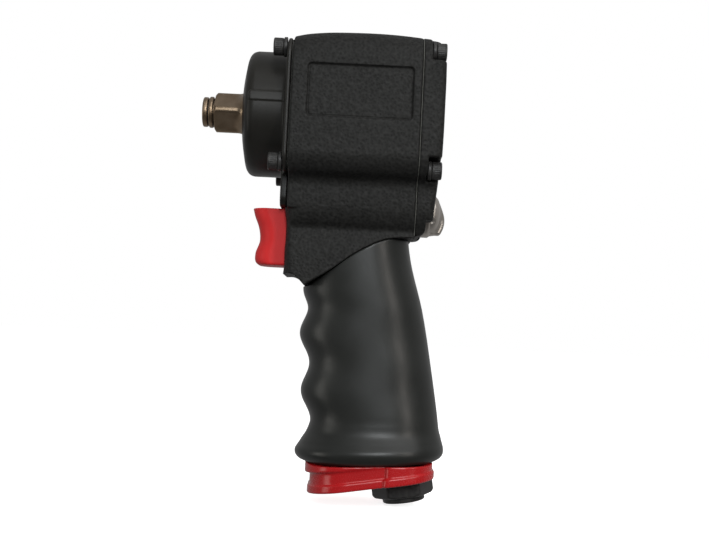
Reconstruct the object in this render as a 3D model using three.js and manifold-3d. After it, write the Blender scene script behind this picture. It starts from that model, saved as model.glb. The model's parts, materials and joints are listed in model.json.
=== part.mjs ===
// A compact half-inch air impact wrench, as the separate pieces that it comes apart into on a bench.
// Millimetres. X is the drive axis and points back from the anvil's front face, which is the origin.
// Z is up and Y is across. The grip hangs down and leans back a little.
import * as THREE from "three";
import { mergeVertices } from "three/addons/utils/BufferGeometryUtils.js";
import Module from "manifold-3d";

const wasm = await Module();
wasm.setup();

// ---- driving dimensions -------------------------------------------------------------------

const FIT = 0.15; // clearance on a radius between pieces that slide or turn
const GAP = 0.3; // gap between faces that meet

// Drive square and anvil
const SQUARE = 12.7; // half-inch square drive
const SQUARE_CORNER_R = 8.35; // its trimmed corners
const NOSE_R = 6.1; // disc in front of the retainer groove
const GROOVE_R = 4.6;
const GROOVE = [2.1, 4.8]; // along X
const SQUARE_BACK = 18.0;
const SHAFT_R = 8.8;
const COLLAR_R = 11.5;
const ANVIL_BODY_R = 8.0; // where the hammer dog strikes
const TAIL_R = 4.6;
const BUSHING_R = 11.4; // outside of the bronze bushing that the shaft turns in

// Hammer case
const CASE_R = 25.6;
const CASE_BORE = 21.4;
const CASE_FRONT = 17.5;
const FLANGE = [35.5, 37.4]; // along X
const FLANGE_HALF = [29.5, 26.4]; // half width, half height
const TONGUE_HALF = 16.5; // the flange's tongue above the trigger
const TONGUE_Z = -38.7;
const TONGUE_STEP = 0.8; // the tongue is this much thicker than the flange

// Impact mechanism
const CAGE_R = 20.9;
const CAGE = [30.6, 52.6];
const DOG = [33.5, 46.0];
const DOG_R = 17.2;
const DOG_BORE = 10.6;
const PIN_Z = 16.4; // the dog's pivot above the axis, and its stop below
const PIN_R = 2.2;

// Air motor
const BORE_R = 26.0; // motor bore of the housing
const LINER_R = 25.8;
const LINER_BORE = 22.2;
const LINER_OFFSET = -2.2; // the bore sits below the rotor's axis
const ROTOR_R = 19.6;
const ROTOR = [61.6, 83.6];
const JOURNAL_R = 4.8;
const VANES = 6;
const VANE = [1.5, 8.4]; // thickness, height
const PLATE_FRONT = [54.9, 61.0];
const PLATE_REAR = [84.2, 90.3];
const BEARING = [5, 9.5, 5]; // bore radius, outside radius, width
const BALLS = 7;

// Motor housing and rear cover
const HOUSING = [37.9, 88.4];
const BODY_HALF = 31; // half width
const BODY_TOP = 30.3;
const NOSE_X = 36.0; // front of the trigger nose
const COVER = [88.9, 97.8];
const CASE_SCREW = [24, 22.6]; // Y and Z of the four case screws
const COVER_SCREW = [24, 23.4];
const SCREW = { shank: 1.95, head: 3.5, headLength: 4, washer: 3.9, washerLength: 1.5 };
const POCKET_X = 92.2; // floor of the cover's screw pockets
const POCKET_R = 4.4;

// Trigger and throttle
const TRIGGER_Z = [-62.4, -39.4];
const TRIGGER_HALF = 9;
const TRIGGER_FRONT = 24.5;
const THROTTLE_Z = -53.2;

// Reverse and power dial
const DIAL_Z = -38.3;
const DIAL_R = 8.6;
const SKIRT_R = 9.3;
const DIAL = [91.6, 101.8];

// Grip
const SLEEVE = 2.8; // thickness of the rubber
const FINGER_PITCH = 22.3;
const BASE_TILT = THREE.MathUtils.degToRad(9.5); // the base rises to the rear
const INLET = new THREE.Vector3(88.8, 0, -146.1); // centre of the air inlet on the base plane
const INLET_AF = 22; // hexagon across flats
const THREAD_R = 5.7; // quarter-inch female pipe thread, plain here

// Facets round a full turn
const LARGE = 24;
const MIDDLE = 16;
const SMALL = 8;

// ---- materials ----------------------------------------------------------------------------

const material = (name, color, roughness, metalness) =>
  new THREE.MeshStandardMaterial({ name, color, roughness, metalness });
const castBlack = material("cast_black", 0x2a2a28, 0.75, 0.2);
const satinGrey = material("satin_grey", 0x33332f, 0.45, 0.6);
const blackOxide = material("black_oxide", 0x4a4038, 0.4, 0.9);
const screwBlack = material("screw_black", 0x1c1c1c, 0.4, 0.8);
const steel = material("steel", 0x9a9a9a, 0.35, 0.95);
const bronze = material("bronze", 0x9c7a45, 0.4, 0.9);
const zinc = material("zinc", 0x87827a, 0.4, 0.8);
const rubber = material("rubber", 0x323432, 0.55, 0);
const redPlastic = material("red_plastic", 0xc43237, 0.45, 0);
const gasketFibre = material("gasket_fibre", 0x3a3a34, 0.9, 0);
const sealRubber = material("seal_rubber", 0x151515, 0.6, 0);
const vaneResin = material("vane_resin", 0x6b4a2a, 0.6, 0);
const felt = material("felt", 0x777772, 1, 0);

// ---- solids from three.js geometry ---------------------------------------------------------

// A closed geometry as a solid, whichever way its faces were wound.
function solid(geometry) {
  const bare = geometry.index ? geometry.toNonIndexed() : geometry.clone();
  bare.deleteAttribute("normal");
  bare.deleteAttribute("uv");
  const merged = mergeVertices(bare, 1e-4);
  const triangles = [];
  for (let i = 0; i < merged.index.count; i += 3) {
    const [a, b, c] = merged.index.array.slice(i, i + 3);
    if (a !== b && b !== c && c !== a) triangles.push([a, b, c]);
  }
  const build = (rows) =>
    new wasm.Manifold(
      new wasm.Mesh({
        numProp: 3,
        vertProperties: new Float32Array(merged.attributes.position.array),
        triVerts: new Uint32Array(rows.flat()),
      }),
    );
  const made = build(triangles);
  return made.volume() > 0 ? made : build(triangles.map(([a, b, c]) => [a, c, b]));
}

const join = (...solids) => solids.reduce((all, one) => all.add(one));
const cut = (body, ...tools) => tools.reduce((left, tool) => left.subtract(tool), body);
const common = (...solids) => solids.reduce((all, one) => all.intersect(one));

// Turned about X from [x, radius] points that start and end on the axis.
function turned(profile, segments = MIDDLE) {
  const points = profile.map(([x, r]) => new THREE.Vector2(r, x));
  return solid(new THREE.LatheGeometry(points, segments).rotateZ(-Math.PI / 2));
}

// A ring turned about X: the profile is a loop that the function closes.
const ring = (profile, segments = MIDDLE) => turned([...profile, profile[0]], segments);

const rod = (x0, x1, r, segments = MIDDLE) =>
  turned([[x0, 0], [x0, r], [x1, r], [x1, 0]], segments);

const tube = (x0, x1, inner, outer, segments = MIDDLE) =>
  ring([[x0, inner], [x0, outer], [x1, outer], [x1, inner]], segments);

const moved = (body, x, y, z) => body.translate([x, y, z]);

function box(x, y, z) {
  const size = [x[1] - x[0], y[1] - y[0], z[1] - z[0]];
  const middle = [(x[0] + x[1]) / 2, (y[0] + y[1]) / 2, (z[0] + z[1]) / 2];
  return solid(new THREE.BoxGeometry(...size).translate(...middle));
}

// A flat outline pushed along one axis. alongX takes (Y, Z) outlines, alongY (X, Z), alongZ (X, Y).
const extrude = (shape, depth, curveSegments) =>
  new THREE.ExtrudeGeometry(shape, { depth, bevelEnabled: false, curveSegments });
const TO_X = new THREE.Matrix4().set(0, 0, 1, 0, 1, 0, 0, 0, 0, 1, 0, 0, 0, 0, 0, 1);
const alongX = (shape, x0, x1, segments = 3) =>
  solid(extrude(shape, x1 - x0, segments).applyMatrix4(TO_X).translate(x0, 0, 0));
const alongY = (shape, y0, y1, segments = 3) =>
  solid(extrude(shape, y1 - y0, segments).rotateX(Math.PI / 2).translate(0, y1, 0));
const alongZ = (shape, z0, z1, segments = 3) =>
  solid(extrude(shape, z1 - z0, segments).translate(0, 0, z0));

const outline = (points) => new THREE.Shape(points.map(([a, b]) => new THREE.Vector2(a, b)));

function roundedBox(a0, a1, b0, b1, r) {
  const shape = new THREE.Shape();
  shape.absarc(a1 - r, b0 + r, r, -Math.PI / 2, 0);
  shape.absarc(a1 - r, b1 - r, r, 0, Math.PI / 2);
  shape.absarc(a0 + r, b1 - r, r, Math.PI / 2, Math.PI);
  shape.absarc(a0 + r, b0 + r, r, Math.PI, 1.5 * Math.PI);
  return shape;
}

function hexagon(acrossFlats, turn = 0) {
  const r = acrossFlats / Math.sqrt(3);
  const corner = (i) => [r * Math.cos(turn + (i * Math.PI) / 3), r * Math.sin(turn + (i * Math.PI) / 3)];
  return outline([0, 1, 2, 3, 4, 5].map(corner));
}

// A smooth curve through a few hand-chosen points, as a list of [a, b] pairs.
const smooth = (points, count) =>
  new THREE.SplineCurve(points.map(([a, b]) => new THREE.Vector2(a, b)))
    .getPoints(count)
    .map((p) => [p.x, p.y]);

// A value between ascending [where, value] points, level beyond the first and the last.
function along(points, where) {
  const next = points.findIndex(([at]) => at > where);
  if (next < 0) return points.at(-1)[1];
  if (next === 0) return points[0][1];
  const [[from, start], [to, end]] = [points[next - 1], points[next]];
  return THREE.MathUtils.mapLinear(where, from, to, start, end);
}

// A closed solid through rings. pointAt(t, angle, spread) places it: t runs 0 to 1 from end to end,
// and spread is 1 on the skin and 0 at the middle of the two end faces.
function loft(steps, segments, pointAt) {
  const geometry = new THREE.CylinderGeometry(1, 1, 1, segments, steps);
  const position = geometry.attributes.position;
  for (let i = 0; i < position.count; i++) {
    const [x, y, z] = [position.getX(i), position.getY(i), position.getZ(i)];
    const at = pointAt(0.5 - y, Math.atan2(z, x), Math.min(1, Math.hypot(x, z)));
    position.setXYZ(i, ...at);
  }
  return solid(geometry);
}

// A round wire wound about X.
function spring(x0, x1, radius, wire, turns) {
  const length = x1 - x0 - 2 * wire;
  const steps = turns * 8;
  const points = Array.from({ length: steps + 1 }, (_, i) => {
    const angle = (i / 8) * 2 * Math.PI;
    const x = x0 + wire + (length * i) / steps;
    return new THREE.Vector3(x, radius * Math.cos(angle), radius * Math.sin(angle));
  });
  const round = new THREE.Shape().absarc(0, 0, wire, 0, 2 * Math.PI);
  const path = new THREE.CatmullRomCurve3(points);
  return solid(
    new THREE.ExtrudeGeometry(round, { steps, extrudePath: path, curveSegments: 2 }),
  );
}

const tool = new THREE.Group();

// Adds one named piece made of one solid.
function piece(name, body, finish, parent = tool) {
  const { vertProperties, triVerts } = body.getMesh();
  const geometry = new THREE.BufferGeometry();
  geometry.setAttribute("position", new THREE.BufferAttribute(new Float32Array(vertProperties), 3));
  geometry.setIndex(new THREE.BufferAttribute(new Uint32Array(triVerts), 1));
  const mesh = new THREE.Mesh(geometry, finish);
  mesh.name = name;
  parent.add(mesh);
  return mesh;
}

const corners = ([y, z]) => [[-y, z], [-y, -z], [y, -z], [y, z]];
const screwHoles = (pattern, x0, x1) =>
  corners(pattern).map(([y, z]) => moved(rod(x0, x1, SCREW.shank + 0.25, SMALL), 0, y, z));

// ---- hammer case ---------------------------------------------------------------------------

function flangeOutline(grow = 0) {
  const [y, z] = FLANGE_HALF.map((half) => half + grow);
  return roundedBox(-y, y, -z, z, 7);
}

function flangePlate(x0, x1, step = 0) {
  const tongue = roundedBox(-TONGUE_HALF, TONGUE_HALF, TONGUE_Z, 0, 5);
  const plate = join(alongX(flangeOutline(), x0, x1), alongX(tongue, x0 - step, x1, 2));
  return cut(plate, ...screwHoles(CASE_SCREW, x0 - 1, x1 + 1));
}

function hammerCase() {
  const cornerR = 4.2;
  const arc = [1, 2, 3].map((i) => {
    const angle = (i / 3) * (Math.PI / 2) * 0.85;
    return [
      CASE_FRONT + 1.5 + cornerR - cornerR * Math.cos(angle),
      CASE_R - cornerR + cornerR * Math.sin(angle),
    ];
  });
  const outside = turned([
    [CASE_FRONT, 0],
    [CASE_FRONT, 14],
    [CASE_FRONT + 1.5, CASE_R - cornerR],
    ...arc,
    [CASE_FRONT + 1.5 + cornerR, CASE_R],
    [FLANGE[1], CASE_R],
    [FLANGE[1], 0],
  ], LARGE);
  const boss = 27.7; // inner end of the nose that holds the bushing
  const inside = ring([
    [boss, 10],
    [boss, 14.5],
    [21.5, 15.5],
    [21.5, CASE_BORE - 2],
    [23.5, CASE_BORE],
    [FLANGE[1] + 1, CASE_BORE],
    [FLANGE[1] + 1, 10],
  ], LARGE);
  const hole = rod(CASE_FRONT - 1, FLANGE[1] + 1, BUSHING_R + 0.2, LARGE);
  const rib = box([24, FLANGE[0]], [-CASE_R - 0.7, -CASE_R + 1.5], [0.4, 3.4]);
  const ribs = [rib, rib.mirror([0, 1, 0])];
  return cut(join(outside, flangePlate(...FLANGE, TONGUE_STEP), ...ribs), inside, hole);
}

piece("hammer_case", hammerCase(), satinGrey);
piece(
  "anvil_bushing",
  tube(CASE_FRONT + 0.2, 27.5, SHAFT_R + FIT, BUSHING_R, LARGE),
  bronze,
);

const gasketHole = rod(FLANGE[1], HOUSING[0] + 1, CASE_BORE, LARGE);
piece(
  "case_gasket",
  cut(flangePlate(FLANGE[1] + 0.1, HOUSING[0] - 0.1), gasketHole),
  gasketFibre,
);

// Socket head screw with its captive lock washer. The head points towards -X for side -1.
function capScrew(seat, length, side) {
  const head = seat + side * (SCREW.washerLength + SCREW.headLength);
  const washer = seat + side * SCREW.washerLength;
  const tip = seat - side * length;
  const body = turned([
    [tip, 0], [tip, SCREW.shank], [seat, SCREW.shank], [seat, SCREW.washer],
    [washer, SCREW.washer], [washer, SCREW.head], [head, SCREW.head], [head, 0],
  ], 12);
  const depth = 2.2;
  const inside = head - side * depth;
  const above = head + side;
  return cut(body, alongX(hexagon(3), Math.min(inside, above), Math.max(inside, above)));
}

corners(CASE_SCREW).forEach(([y, z], i) => {
  const screw = capScrew(FLANGE[0] - 0.1, 17, -1);
  piece("case_screw_" + (i + 1), moved(screw, 0, y, z), screwBlack);
});

// ---- anvil and impact mechanism --------------------------------------------------------------

function anvil() {
  const half = SQUARE / 2;
  const square = box([GROOVE[1], SQUARE_BACK], [-half, half], [-half, half]);
  const trimmed = common(
    square,
    turned([[GROOVE[1], 0], [GROOVE[1], 7], [GROOVE[1] + 1, SQUARE_CORNER_R],
      [SQUARE_BACK, SQUARE_CORNER_R], [SQUARE_BACK, 0]], 40),
  ).rotate([45, 0, 0]);
  const turnedPart = turned([
    [0, 0], [0, NOSE_R - 0.5], [0.5, NOSE_R], [GROOVE[0], NOSE_R], [GROOVE[0], GROOVE_R],
    [GROOVE[1] + 0.1, GROOVE_R], [GROOVE[1] + 0.1, 5.8], [SQUARE_BACK - 0.8, 5.8],
    [SQUARE_BACK, SHAFT_R], [28, SHAFT_R], [28, COLLAR_R], [30, COLLAR_R], [30, ANVIL_BODY_R],
    [44.2, ANVIL_BODY_R], [44.2, TAIL_R], [48.6, TAIL_R], [48.6, 0],
  ]);
  const lug = box([30, DOG[1] - 1.8], [-3, 3], [-9.4, -6]);
  return join(trimmed, turnedPart, lug);
}

piece("anvil", anvil(), blackOxide);

// Split ring that holds a socket on, open by a narrow gap, over a small rubber ring.
const retainerGap = box([0, 10], [-0.6, 0.6], [3, 8]);
piece(
  "socket_retainer",
  cut(tube(GROOVE[0] + 0.4, GROOVE[1] - 0.5, 5.25, 6.4), retainerGap),
  blackOxide,
);
piece(
  "retainer_o_ring",
  tube(GROOVE[0] + 0.5, GROOVE[1] - 0.6, GROOVE_R + 0.05, 5.15),
  sealRubber,
);

// Two end plates joined by a wall above and below, open at the sides. The rear plate takes the
// rotor's hexagon and guides the anvil's tail.
function hammerCage() {
  const frontPlate = tube(CAGE[0], DOG[0] - GAP, 10.4, CAGE_R, LARGE);
  const rearPlate = rod(DOG[1] + GAP, CAGE[1], CAGE_R, LARGE);
  const wall = common(
    tube(CAGE[0], CAGE[1], DOG_R + 1.3, CAGE_R, LARGE),
    box([CAGE[0], CAGE[1]], [-11, 11], [-CAGE_R, CAGE_R]),
  );
  const tailBore = rod(DOG[1], 49.2, TAIL_R + FIT);
  const socket = alongX(hexagon(8.7), 49.1, CAGE[1] + 1);
  const pins = [PIN_Z, -PIN_Z].map((z) => moved(rod(29, 51, PIN_R + 0.05, SMALL), 0, 0, z));
  return cut(join(frontPlate, rearPlate, wall), tailBore, socket, ...pins);
}

piece("hammer_cage", hammerCage(), steel);

// A ring that rocks on the upper pin, so that the key in its bore meets the anvil's lug.
function hammerDog() {
  const key = box(DOG, [-2.2, 2.2], [8.9, 12]);
  const body = join(tube(DOG[0], DOG[1], DOG_BORE, DOG_R, LARGE), key);
  const pivot = join(
    moved(rod(30, 50, PIN_R + FIT, SMALL), 0, 0, PIN_Z),
    box([30, 50], [-PIN_R - FIT, PIN_R + FIT], [PIN_Z, PIN_Z + 4]),
  );
  const stop = box([30, 50], [-5.6, 5.6], [-20, -PIN_Z + PIN_R + 0.5]);
  return cut(body, pivot, stop);
}

piece("hammer_dog", hammerDog(), blackOxide);
piece("dog_pivot_pin", moved(rod(30.8, 50.8, PIN_R, SMALL), 0, 0, PIN_Z), steel);
piece("dog_stop_pin", moved(rod(30.8, 50.8, PIN_R, SMALL), 0, 0, -PIN_Z), steel);

// ---- air motor -----------------------------------------------------------------------------

const dowelZ = 22.9;

// End plate with a bearing pocket on its outer face.
function endPlate(pocket) {
  const [x0, x1] = pocket === "front" ? PLATE_FRONT : PLATE_REAR;
  const seat = pocket === "front" ? [x0 - 1, x1 - 1.1] : [x0 + 1.1, x1 + 1];
  return cut(
    rod(x0, x1, LINER_R - 0.1, LARGE),
    rod(...seat, BEARING[1] + 0.05),
    rod(x0 - 1, x1 + 1, JOURNAL_R + 0.7),
    moved(rod(x0 - 1, x1 + 1, 1.6, SMALL), 0, 0, dowelZ),
  );
}

function bearing(prefix, x0) {
  const [bore, outside, width] = BEARING;
  const x1 = x0 + width;
  const middle = (x0 + x1) / 2;
  const ballR = 1.1;
  const pitch = (bore + outside) / 2;
  const groove = (r, way) => [-1, 0, 1].map((i) => [
    middle + way * i * 0.8,
    r + (Math.abs(i) ? 0 : Math.sign(r - pitch) * 0.45),
  ]);
  const outer = [[x0, outside], [x1, outside], [x1, outside - 1.3], ...groove(outside - 1.3, -1),
    [x0, outside - 1.3]];
  const inner = [[x0, bore], [x0, bore + 1.2], ...groove(bore + 1.2, 1), [x1, bore + 1.2],
    [x1, bore]];
  piece(prefix + "_bearing_outer_ring", ring(outer), steel);
  piece(prefix + "_bearing_inner_ring", ring(inner), steel);
  const cage = tube(middle - 0.5, middle + 0.5, pitch - 0.35, pitch + 0.35, BALLS);
  const balls = Array.from({ length: BALLS }, (_, i) => {
    const angle = (i * 2 * Math.PI) / BALLS;
    const ball = new THREE.IcosahedronGeometry(ballR, 0);
    return solid(ball.translate(middle, pitch * Math.cos(angle), pitch * Math.sin(angle)));
  });
  piece(prefix + "_bearing_balls", join(cage, ...balls), steel);
}

piece("front_end_plate", endPlate("front"), steel);
piece("rear_end_plate", endPlate("rear"), steel);
bearing("front", PLATE_FRONT[0]);
bearing("rear", PLATE_REAR[1] - BEARING[2]);

function cylinderLiner() {
  const x = [PLATE_FRONT[1] + 0.15, PLATE_REAR[0] - 0.15];
  const inside = moved(rod(x[0] - 1, x[1] + 1, LINER_BORE, LARGE), 0, 0, LINER_OFFSET);
  const dowel = moved(rod(x[0] - 1, x[1] + 1, 1.6, SMALL), 0, 0, dowelZ);
  const exhaust = [66, 72.6, 79.2].map((at) => box([at - 1.2, at + 1.2], [-5, 5], [-28, -20]));
  const inlets = [-1, 1].map((side) => {
    const slot = box([70, 76], [-1.5, 1.5], [18, 28]);
    return slot.rotate([side * 48, 0, 0]);
  });
  return cut(rod(x[0], x[1], LINER_R, LARGE), inside, dowel, ...exhaust, ...inlets);
}

piece("cylinder_liner", cylinderLiner(), steel);
const dowel = rod(PLATE_FRONT[0] + 0.5, PLATE_REAR[1] - 0.5, 1.5, SMALL);
piece("liner_dowel", moved(dowel, 0, 0, dowelZ), steel);

const vaneTop = ROTOR_R - 0.1;
const vaneAngle = (i) => 30 + (i * 360) / VANES;

function rotor() {
  const body = turned([
    [53.2, 0], [53.2, JOURNAL_R], [ROTOR[0] - 0.4, JOURNAL_R], [ROTOR[0] - 0.4, 7], [ROTOR[0], 7],
    [ROTOR[0], ROTOR_R], [ROTOR[1], ROTOR_R], [ROTOR[1], 7], [ROTOR[1] + 0.4, 7],
    [ROTOR[1] + 0.4, JOURNAL_R], [PLATE_REAR[1] - 0.1, JOURNAL_R], [PLATE_REAR[1] - 0.1, 0],
  ], LARGE);
  const nose = alongX(hexagon(8.3), 49.4, 54);
  const half = VANE[0] / 2 + 0.1;
  const slot = box([ROTOR[0] - 1, ROTOR[1] + 1], [-half, half], [vaneTop - VANE[1] - 0.4, 30]);
  const slots = Array.from({ length: VANES }, (_, i) => slot.rotate([vaneAngle(i), 0, 0]));
  return cut(join(body, nose), ...slots);
}

piece("rotor", rotor(), steel);
for (let i = 0; i < VANES; i++) {
  const half = VANE[0] / 2;
  const vane = box([ROTOR[0] + 0.1, ROTOR[1] - 0.1], [-half, half], [vaneTop - VANE[1], vaneTop]);
  piece("rotor_vane_" + (i + 1), vane.rotate([vaneAngle(i), 0, 0]), vaneResin);
}

// ---- motor housing -------------------------------------------------------------------------

// One half of an outline, mirrored to the other side of the tool.
function mirrored(path, divisions, flip = ([y, z]) => [-y, z]) {
  const half = path.getPoints(divisions).map((p) => [p.x, p.y]);
  const others = half.slice(1, -1).reverse().map(flip);
  return outline([...half, ...others]);
}

// Barrel, waist, valve bulge and handle root, from the crown down.
function bodySection() {
  const topR = 12;
  const lowR = 9;
  const low = -18;
  const path = new THREE.Path();
  path.moveTo(0, BODY_TOP);
  path.lineTo(BODY_HALF - topR, BODY_TOP);
  path.absarc(BODY_HALF - topR, BODY_TOP - topR, topR, Math.PI / 2, 0, true);
  path.absarc(BODY_HALF - lowR, low, lowR, 0, -1.3, true);
  path.quadraticCurveTo(21.2, -27.9, 20.4, -33);
  path.quadraticCurveTo(20.2, -41.5, 17.6, -45.4);
  path.quadraticCurveTo(17.4, -48, 18.7, -52);
  path.lineTo(18.7, -72);
  path.lineTo(0, -72);
  return mirrored(path, 3);
}

// Where the rubber sleeve starts, seen from the side.
const SEAM = [[90, -49.3], [77, -50.6], [65.9, -56.3], [55.7, -63.9], [47, -69.4]];

function bodyProfile() {
  const crown = smooth(
    [[HOUSING[0], 26.7], [48.3, 29.2], [62, 30.1], [79, 29.9], [HOUSING[1], 29.2]],
    8,
  );
  const seam = smooth(SEAM, 10).filter(([x]) => x < HOUSING[1]);
  return outline([
    ...crown, [HOUSING[1], SEAM[0][1]], ...seam,
    [43.8, -67.1], [40.4, -66], [38, -66], [37, -64.6], [36.8, -62.4],
    [NOSE_X, TONGUE_Z], [HOUSING[0], TONGUE_Z],
  ]);
}

// The nose round the trigger has rounded front corners.
const nosePlan = roundedBox(NOSE_X, HOUSING[1] + 10, -20, 20, 8);

const gripFront = (z) => {
  const line = 46.5 - (z + 89) * 0.068;
  const lobes = 1.8 * Math.cos(((z + 89) * 2 * Math.PI) / FINGER_PITCH);
  return line - lobes * THREE.MathUtils.smoothstep(-z, 68, 80) * THREE.MathUtils.smoothstep(z, -135, -122);
};
const REAR_LINE = [[-138, 104.2], [-128, 103.1], [-102.4, 99], [-78, 94.2], [-57, 88.4], [-46, 86.6]];
const HALF_LINE = [[-140, 20.4], [-120, 19.2], [-95, 18.4], [-70, 18.6], [-46, 18.8]];
// How far the sleeve's lip stands out in front and at the sides, and behind.
const LIP = [[-139.4, 1.3], [-137.6, 3.4], [-136, 4.5], [-134.4, 4.9], [-131.2, 2.2], [-128, 0]];
const LIP_REAR = [[-139.4, -2.2], [-137.6, 0], [-136, 1.1], [-134.4, 1.5], [-131, 0.9], [-127, 0]];

// Skin of the grip, drawn in by inset. The lip at its foot belongs to the sleeve only.
function gripSkin(top, bottom, inset, lip, steps, segments) {
  return loft(steps, segments, (t, angle, spread) => {
    const z = THREE.MathUtils.lerp(top, bottom, t);
    const front = gripFront(z) + inset - lip * along(LIP, z);
    const rear = along(REAR_LINE, z) - inset + lip * along(LIP_REAR, z);
    const half = along(HALF_LINE, z) - inset + lip * along(LIP, z) * 0.7;
    const centre = (front + rear) / 2 + 3;
    const length = Math.cos(angle) > 0 ? rear - centre : centre - front;
    const power = 0.85;
    const c = Math.sign(Math.cos(angle)) * Math.abs(Math.cos(angle)) ** power;
    const s = Math.sign(Math.sin(angle)) * Math.abs(Math.sin(angle)) ** power;
    const x = centre + spread * length * c;
    return [x, spread * half * s, z + 0.047 * (x - 75) * THREE.MathUtils.smoothstep(-z, 80, 130)];
  });
}

// Height of the tilted base plane at x.
const baseZ = (x) => INLET.z + Math.tan(BASE_TILT) * (x - INLET.x);

// Everything between two planes parallel to the base, given as heights above it.
const baseSlab = (low, high) =>
  alongY(
    outline([[40, baseZ(40) + low], [115, baseZ(115) + low], [115, baseZ(115) + high],
      [40, baseZ(40) + high]]),
    -40,
    40,
  );

// Plan of the base: a narrower nose in front, and a wider part round the inlet.
function basePlan(inset) {
  const [front, step, rear] = [51.7 + inset, 83 + inset / 2, 100.4 - inset];
  const [narrow, wide] = [20 - inset, 21.5 - inset];
  const [noseR, backR] = [15 - inset, 12 - inset];
  const path = new THREE.Path();
  path.moveTo(front, 0);
  path.absarc(front + noseR, narrow - noseR, noseR, Math.PI, Math.PI / 2, true);
  path.lineTo(step, narrow);
  path.lineTo(step + 1.5, wide);
  path.absarc(rear - backR, wide - backR, backR, Math.PI / 2, 0, true);
  path.lineTo(rear, 0);
  return alongZ(mirrored(path, 3, ([x, y]) => [x, -y]), -160, -130);
}

// A rod down the inlet's tilted axis. Distances are up from the base plane.
function inletRod(up, down, r, segments = MIDDLE) {
  const geometry = new THREE.CylinderGeometry(r, r, up - down, segments);
  geometry.rotateX(Math.PI / 2).translate(0, 0, (up + down) / 2);
  geometry.rotateY(-BASE_TILT).translate(INLET.x, INLET.y, INLET.z);
  return solid(geometry);
}

const FOOT_UP = 7.4; // the handle's foot ends this far above the base plane

function motorHousing() {
  const barrel = common(
    alongX(bodySection(), NOSE_X - 1, HOUSING[1]),
    alongY(bodyProfile(), -40, 40),
    join(box([HOUSING[0], 100], [-40, 40], [-40, 40]), alongZ(nosePlan, -80, -30)),
  );
  const core = gripSkin(-47, -137, SLEEVE, 0, 8, 16);
  const foot = common(basePlan(3), baseSlab(FOOT_UP, 14));
  const panel = alongY(roundedBox(44.8, 85.1, -5.5, 15.2, 3), BODY_HALF - 0.8, BODY_HALF + 5, 2);
  const bores = [
    rod(HOUSING[0] - 1, 53.2, 21.8, LARGE),
    rod(50, 60, 12),
    rod(54.7, HOUSING[1] + 1, BORE_R, LARGE),
    moved(rod(63.4, HOUSING[1] + 1, 7.35), 0, 0, DIAL_Z),
    moved(rod(46, 78.5, 5.6, 16), 0, 0, THROTTLE_Z),
  ];
  const pocket = box([NOSE_X - 2, 47.8], [-9.4, 9.4], [TRIGGER_Z[0] - 0.4, TRIGGER_Z[1] + 0.4]);
  const throat = box([NOSE_X - 2, HOUSING[0] + 0.01], [-9.4, 9.4], [TRIGGER_Z[1], TONGUE_Z + 1]);
  const inlet = [inletRod(95, -5, 5.2, 12), inletRod(20, -5, 8.4)];
  const exhaust = [
    box([58, 66], [-12, 12], [-150, -74]),
    ...[-10.5, 10.5].map((y) => box([59, 65], [y - 2.5, y + 2.5], [-76, -22])),
  ];
  const screws = [
    ...screwHoles(CASE_SCREW, HOUSING[0] - 1, 53.5),
    ...screwHoles(COVER_SCREW, 74, HOUSING[1] + 1),
  ];
  return cut(
    join(barrel, core, foot), panel, panel.mirror([0, 1, 0]), ...bores, pocket, throat, ...inlet,
    ...exhaust, ...screws,
  );
}

piece("motor_housing", motorHousing(), castBlack);

// ---- rear cover ----------------------------------------------------------------------------

function coverPlate(x0, x1) {
  const profile = outline([
    [x0, 29.2], [Math.min(x1, 94), 28.6], [Math.min(x1, 97.4), 26], [Math.min(x1, 98.1), 14],
    [Math.min(x1, COVER[1]), 2], [Math.min(x1, 97.9), -11], [Math.min(x1, 97), -28],
    [Math.min(x1, 96.1), -36], [Math.min(x1, 95.8), -41.5], [Math.min(x1, 93.4), -42.8],
    [Math.min(x1, 92.7), -47], [Math.min(x1, 91.2), -49], [x0, -49.5],
  ]);
  return common(alongX(bodySection(), x0, x1), alongY(profile, -40, 40));
}

// The lower screw pockets are open at the side, the upper ones above as well.
function coverPockets() {
  const round = rod(POCKET_X, 105, POCKET_R, 14);
  const lower = join(round, box([POCKET_X, 105], [0, 14], [-POCKET_R, POCKET_R]));
  const upper = join(lower, box([POCKET_X, 105], [-POCKET_R, 14], [0, 14]));
  return corners(COVER_SCREW).map(([y, z]) => {
    const pocket = z > 0 ? upper : lower;
    return moved(y > 0 ? pocket : pocket.mirror([0, 1, 0]), 0, y, z);
  });
}

function rearCover() {
  const dialWell = join(
    moved(rod(DIAL[0] - GAP, 110, SKIRT_R + 0.5), 0, 0, DIAL_Z),
    box([DIAL[0] - GAP, 110], [-SKIRT_R - 0.4, SKIRT_R + 0.4], [-60, DIAL_Z]),
  );
  return cut(
    coverPlate(...COVER),
    rod(COVER[0] - 1, 90.8, BORE_R, LARGE),
    rod(90, 92, 8, SMALL),
    ...coverPockets(),
    ...screwHoles(COVER_SCREW, COVER[0] - 1, POCKET_X + 1),
    dialWell,
    moved(rod(COVER[0] - 1, 95, 3.3, SMALL), 0, 0, DIAL_Z),
    moved(rod(COVER[0] - 1, 95, 1.7, SMALL), 0, 0, DIAL_Z + 6.3),
  );
}

function rearGasket() {
  return cut(
    coverPlate(HOUSING[1] + 0.1, COVER[0] - 0.1),
    rod(80, 95, BORE_R, LARGE),
    ...screwHoles(COVER_SCREW, 80, 95),
    moved(rod(80, 95, 3.3, SMALL), 0, 0, DIAL_Z),
    moved(rod(80, 95, 1.7, SMALL), 0, 0, DIAL_Z + 6.3),
  );
}

piece("rear_gasket", rearGasket(), gasketFibre);
piece("rear_cover", rearCover(), castBlack);
corners(COVER_SCREW).forEach(([y, z], i) => {
  piece("cover_screw_" + (i + 1), moved(capScrew(POCKET_X + 0.1, 17, 1), 0, y, z), screwBlack);
});

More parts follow.
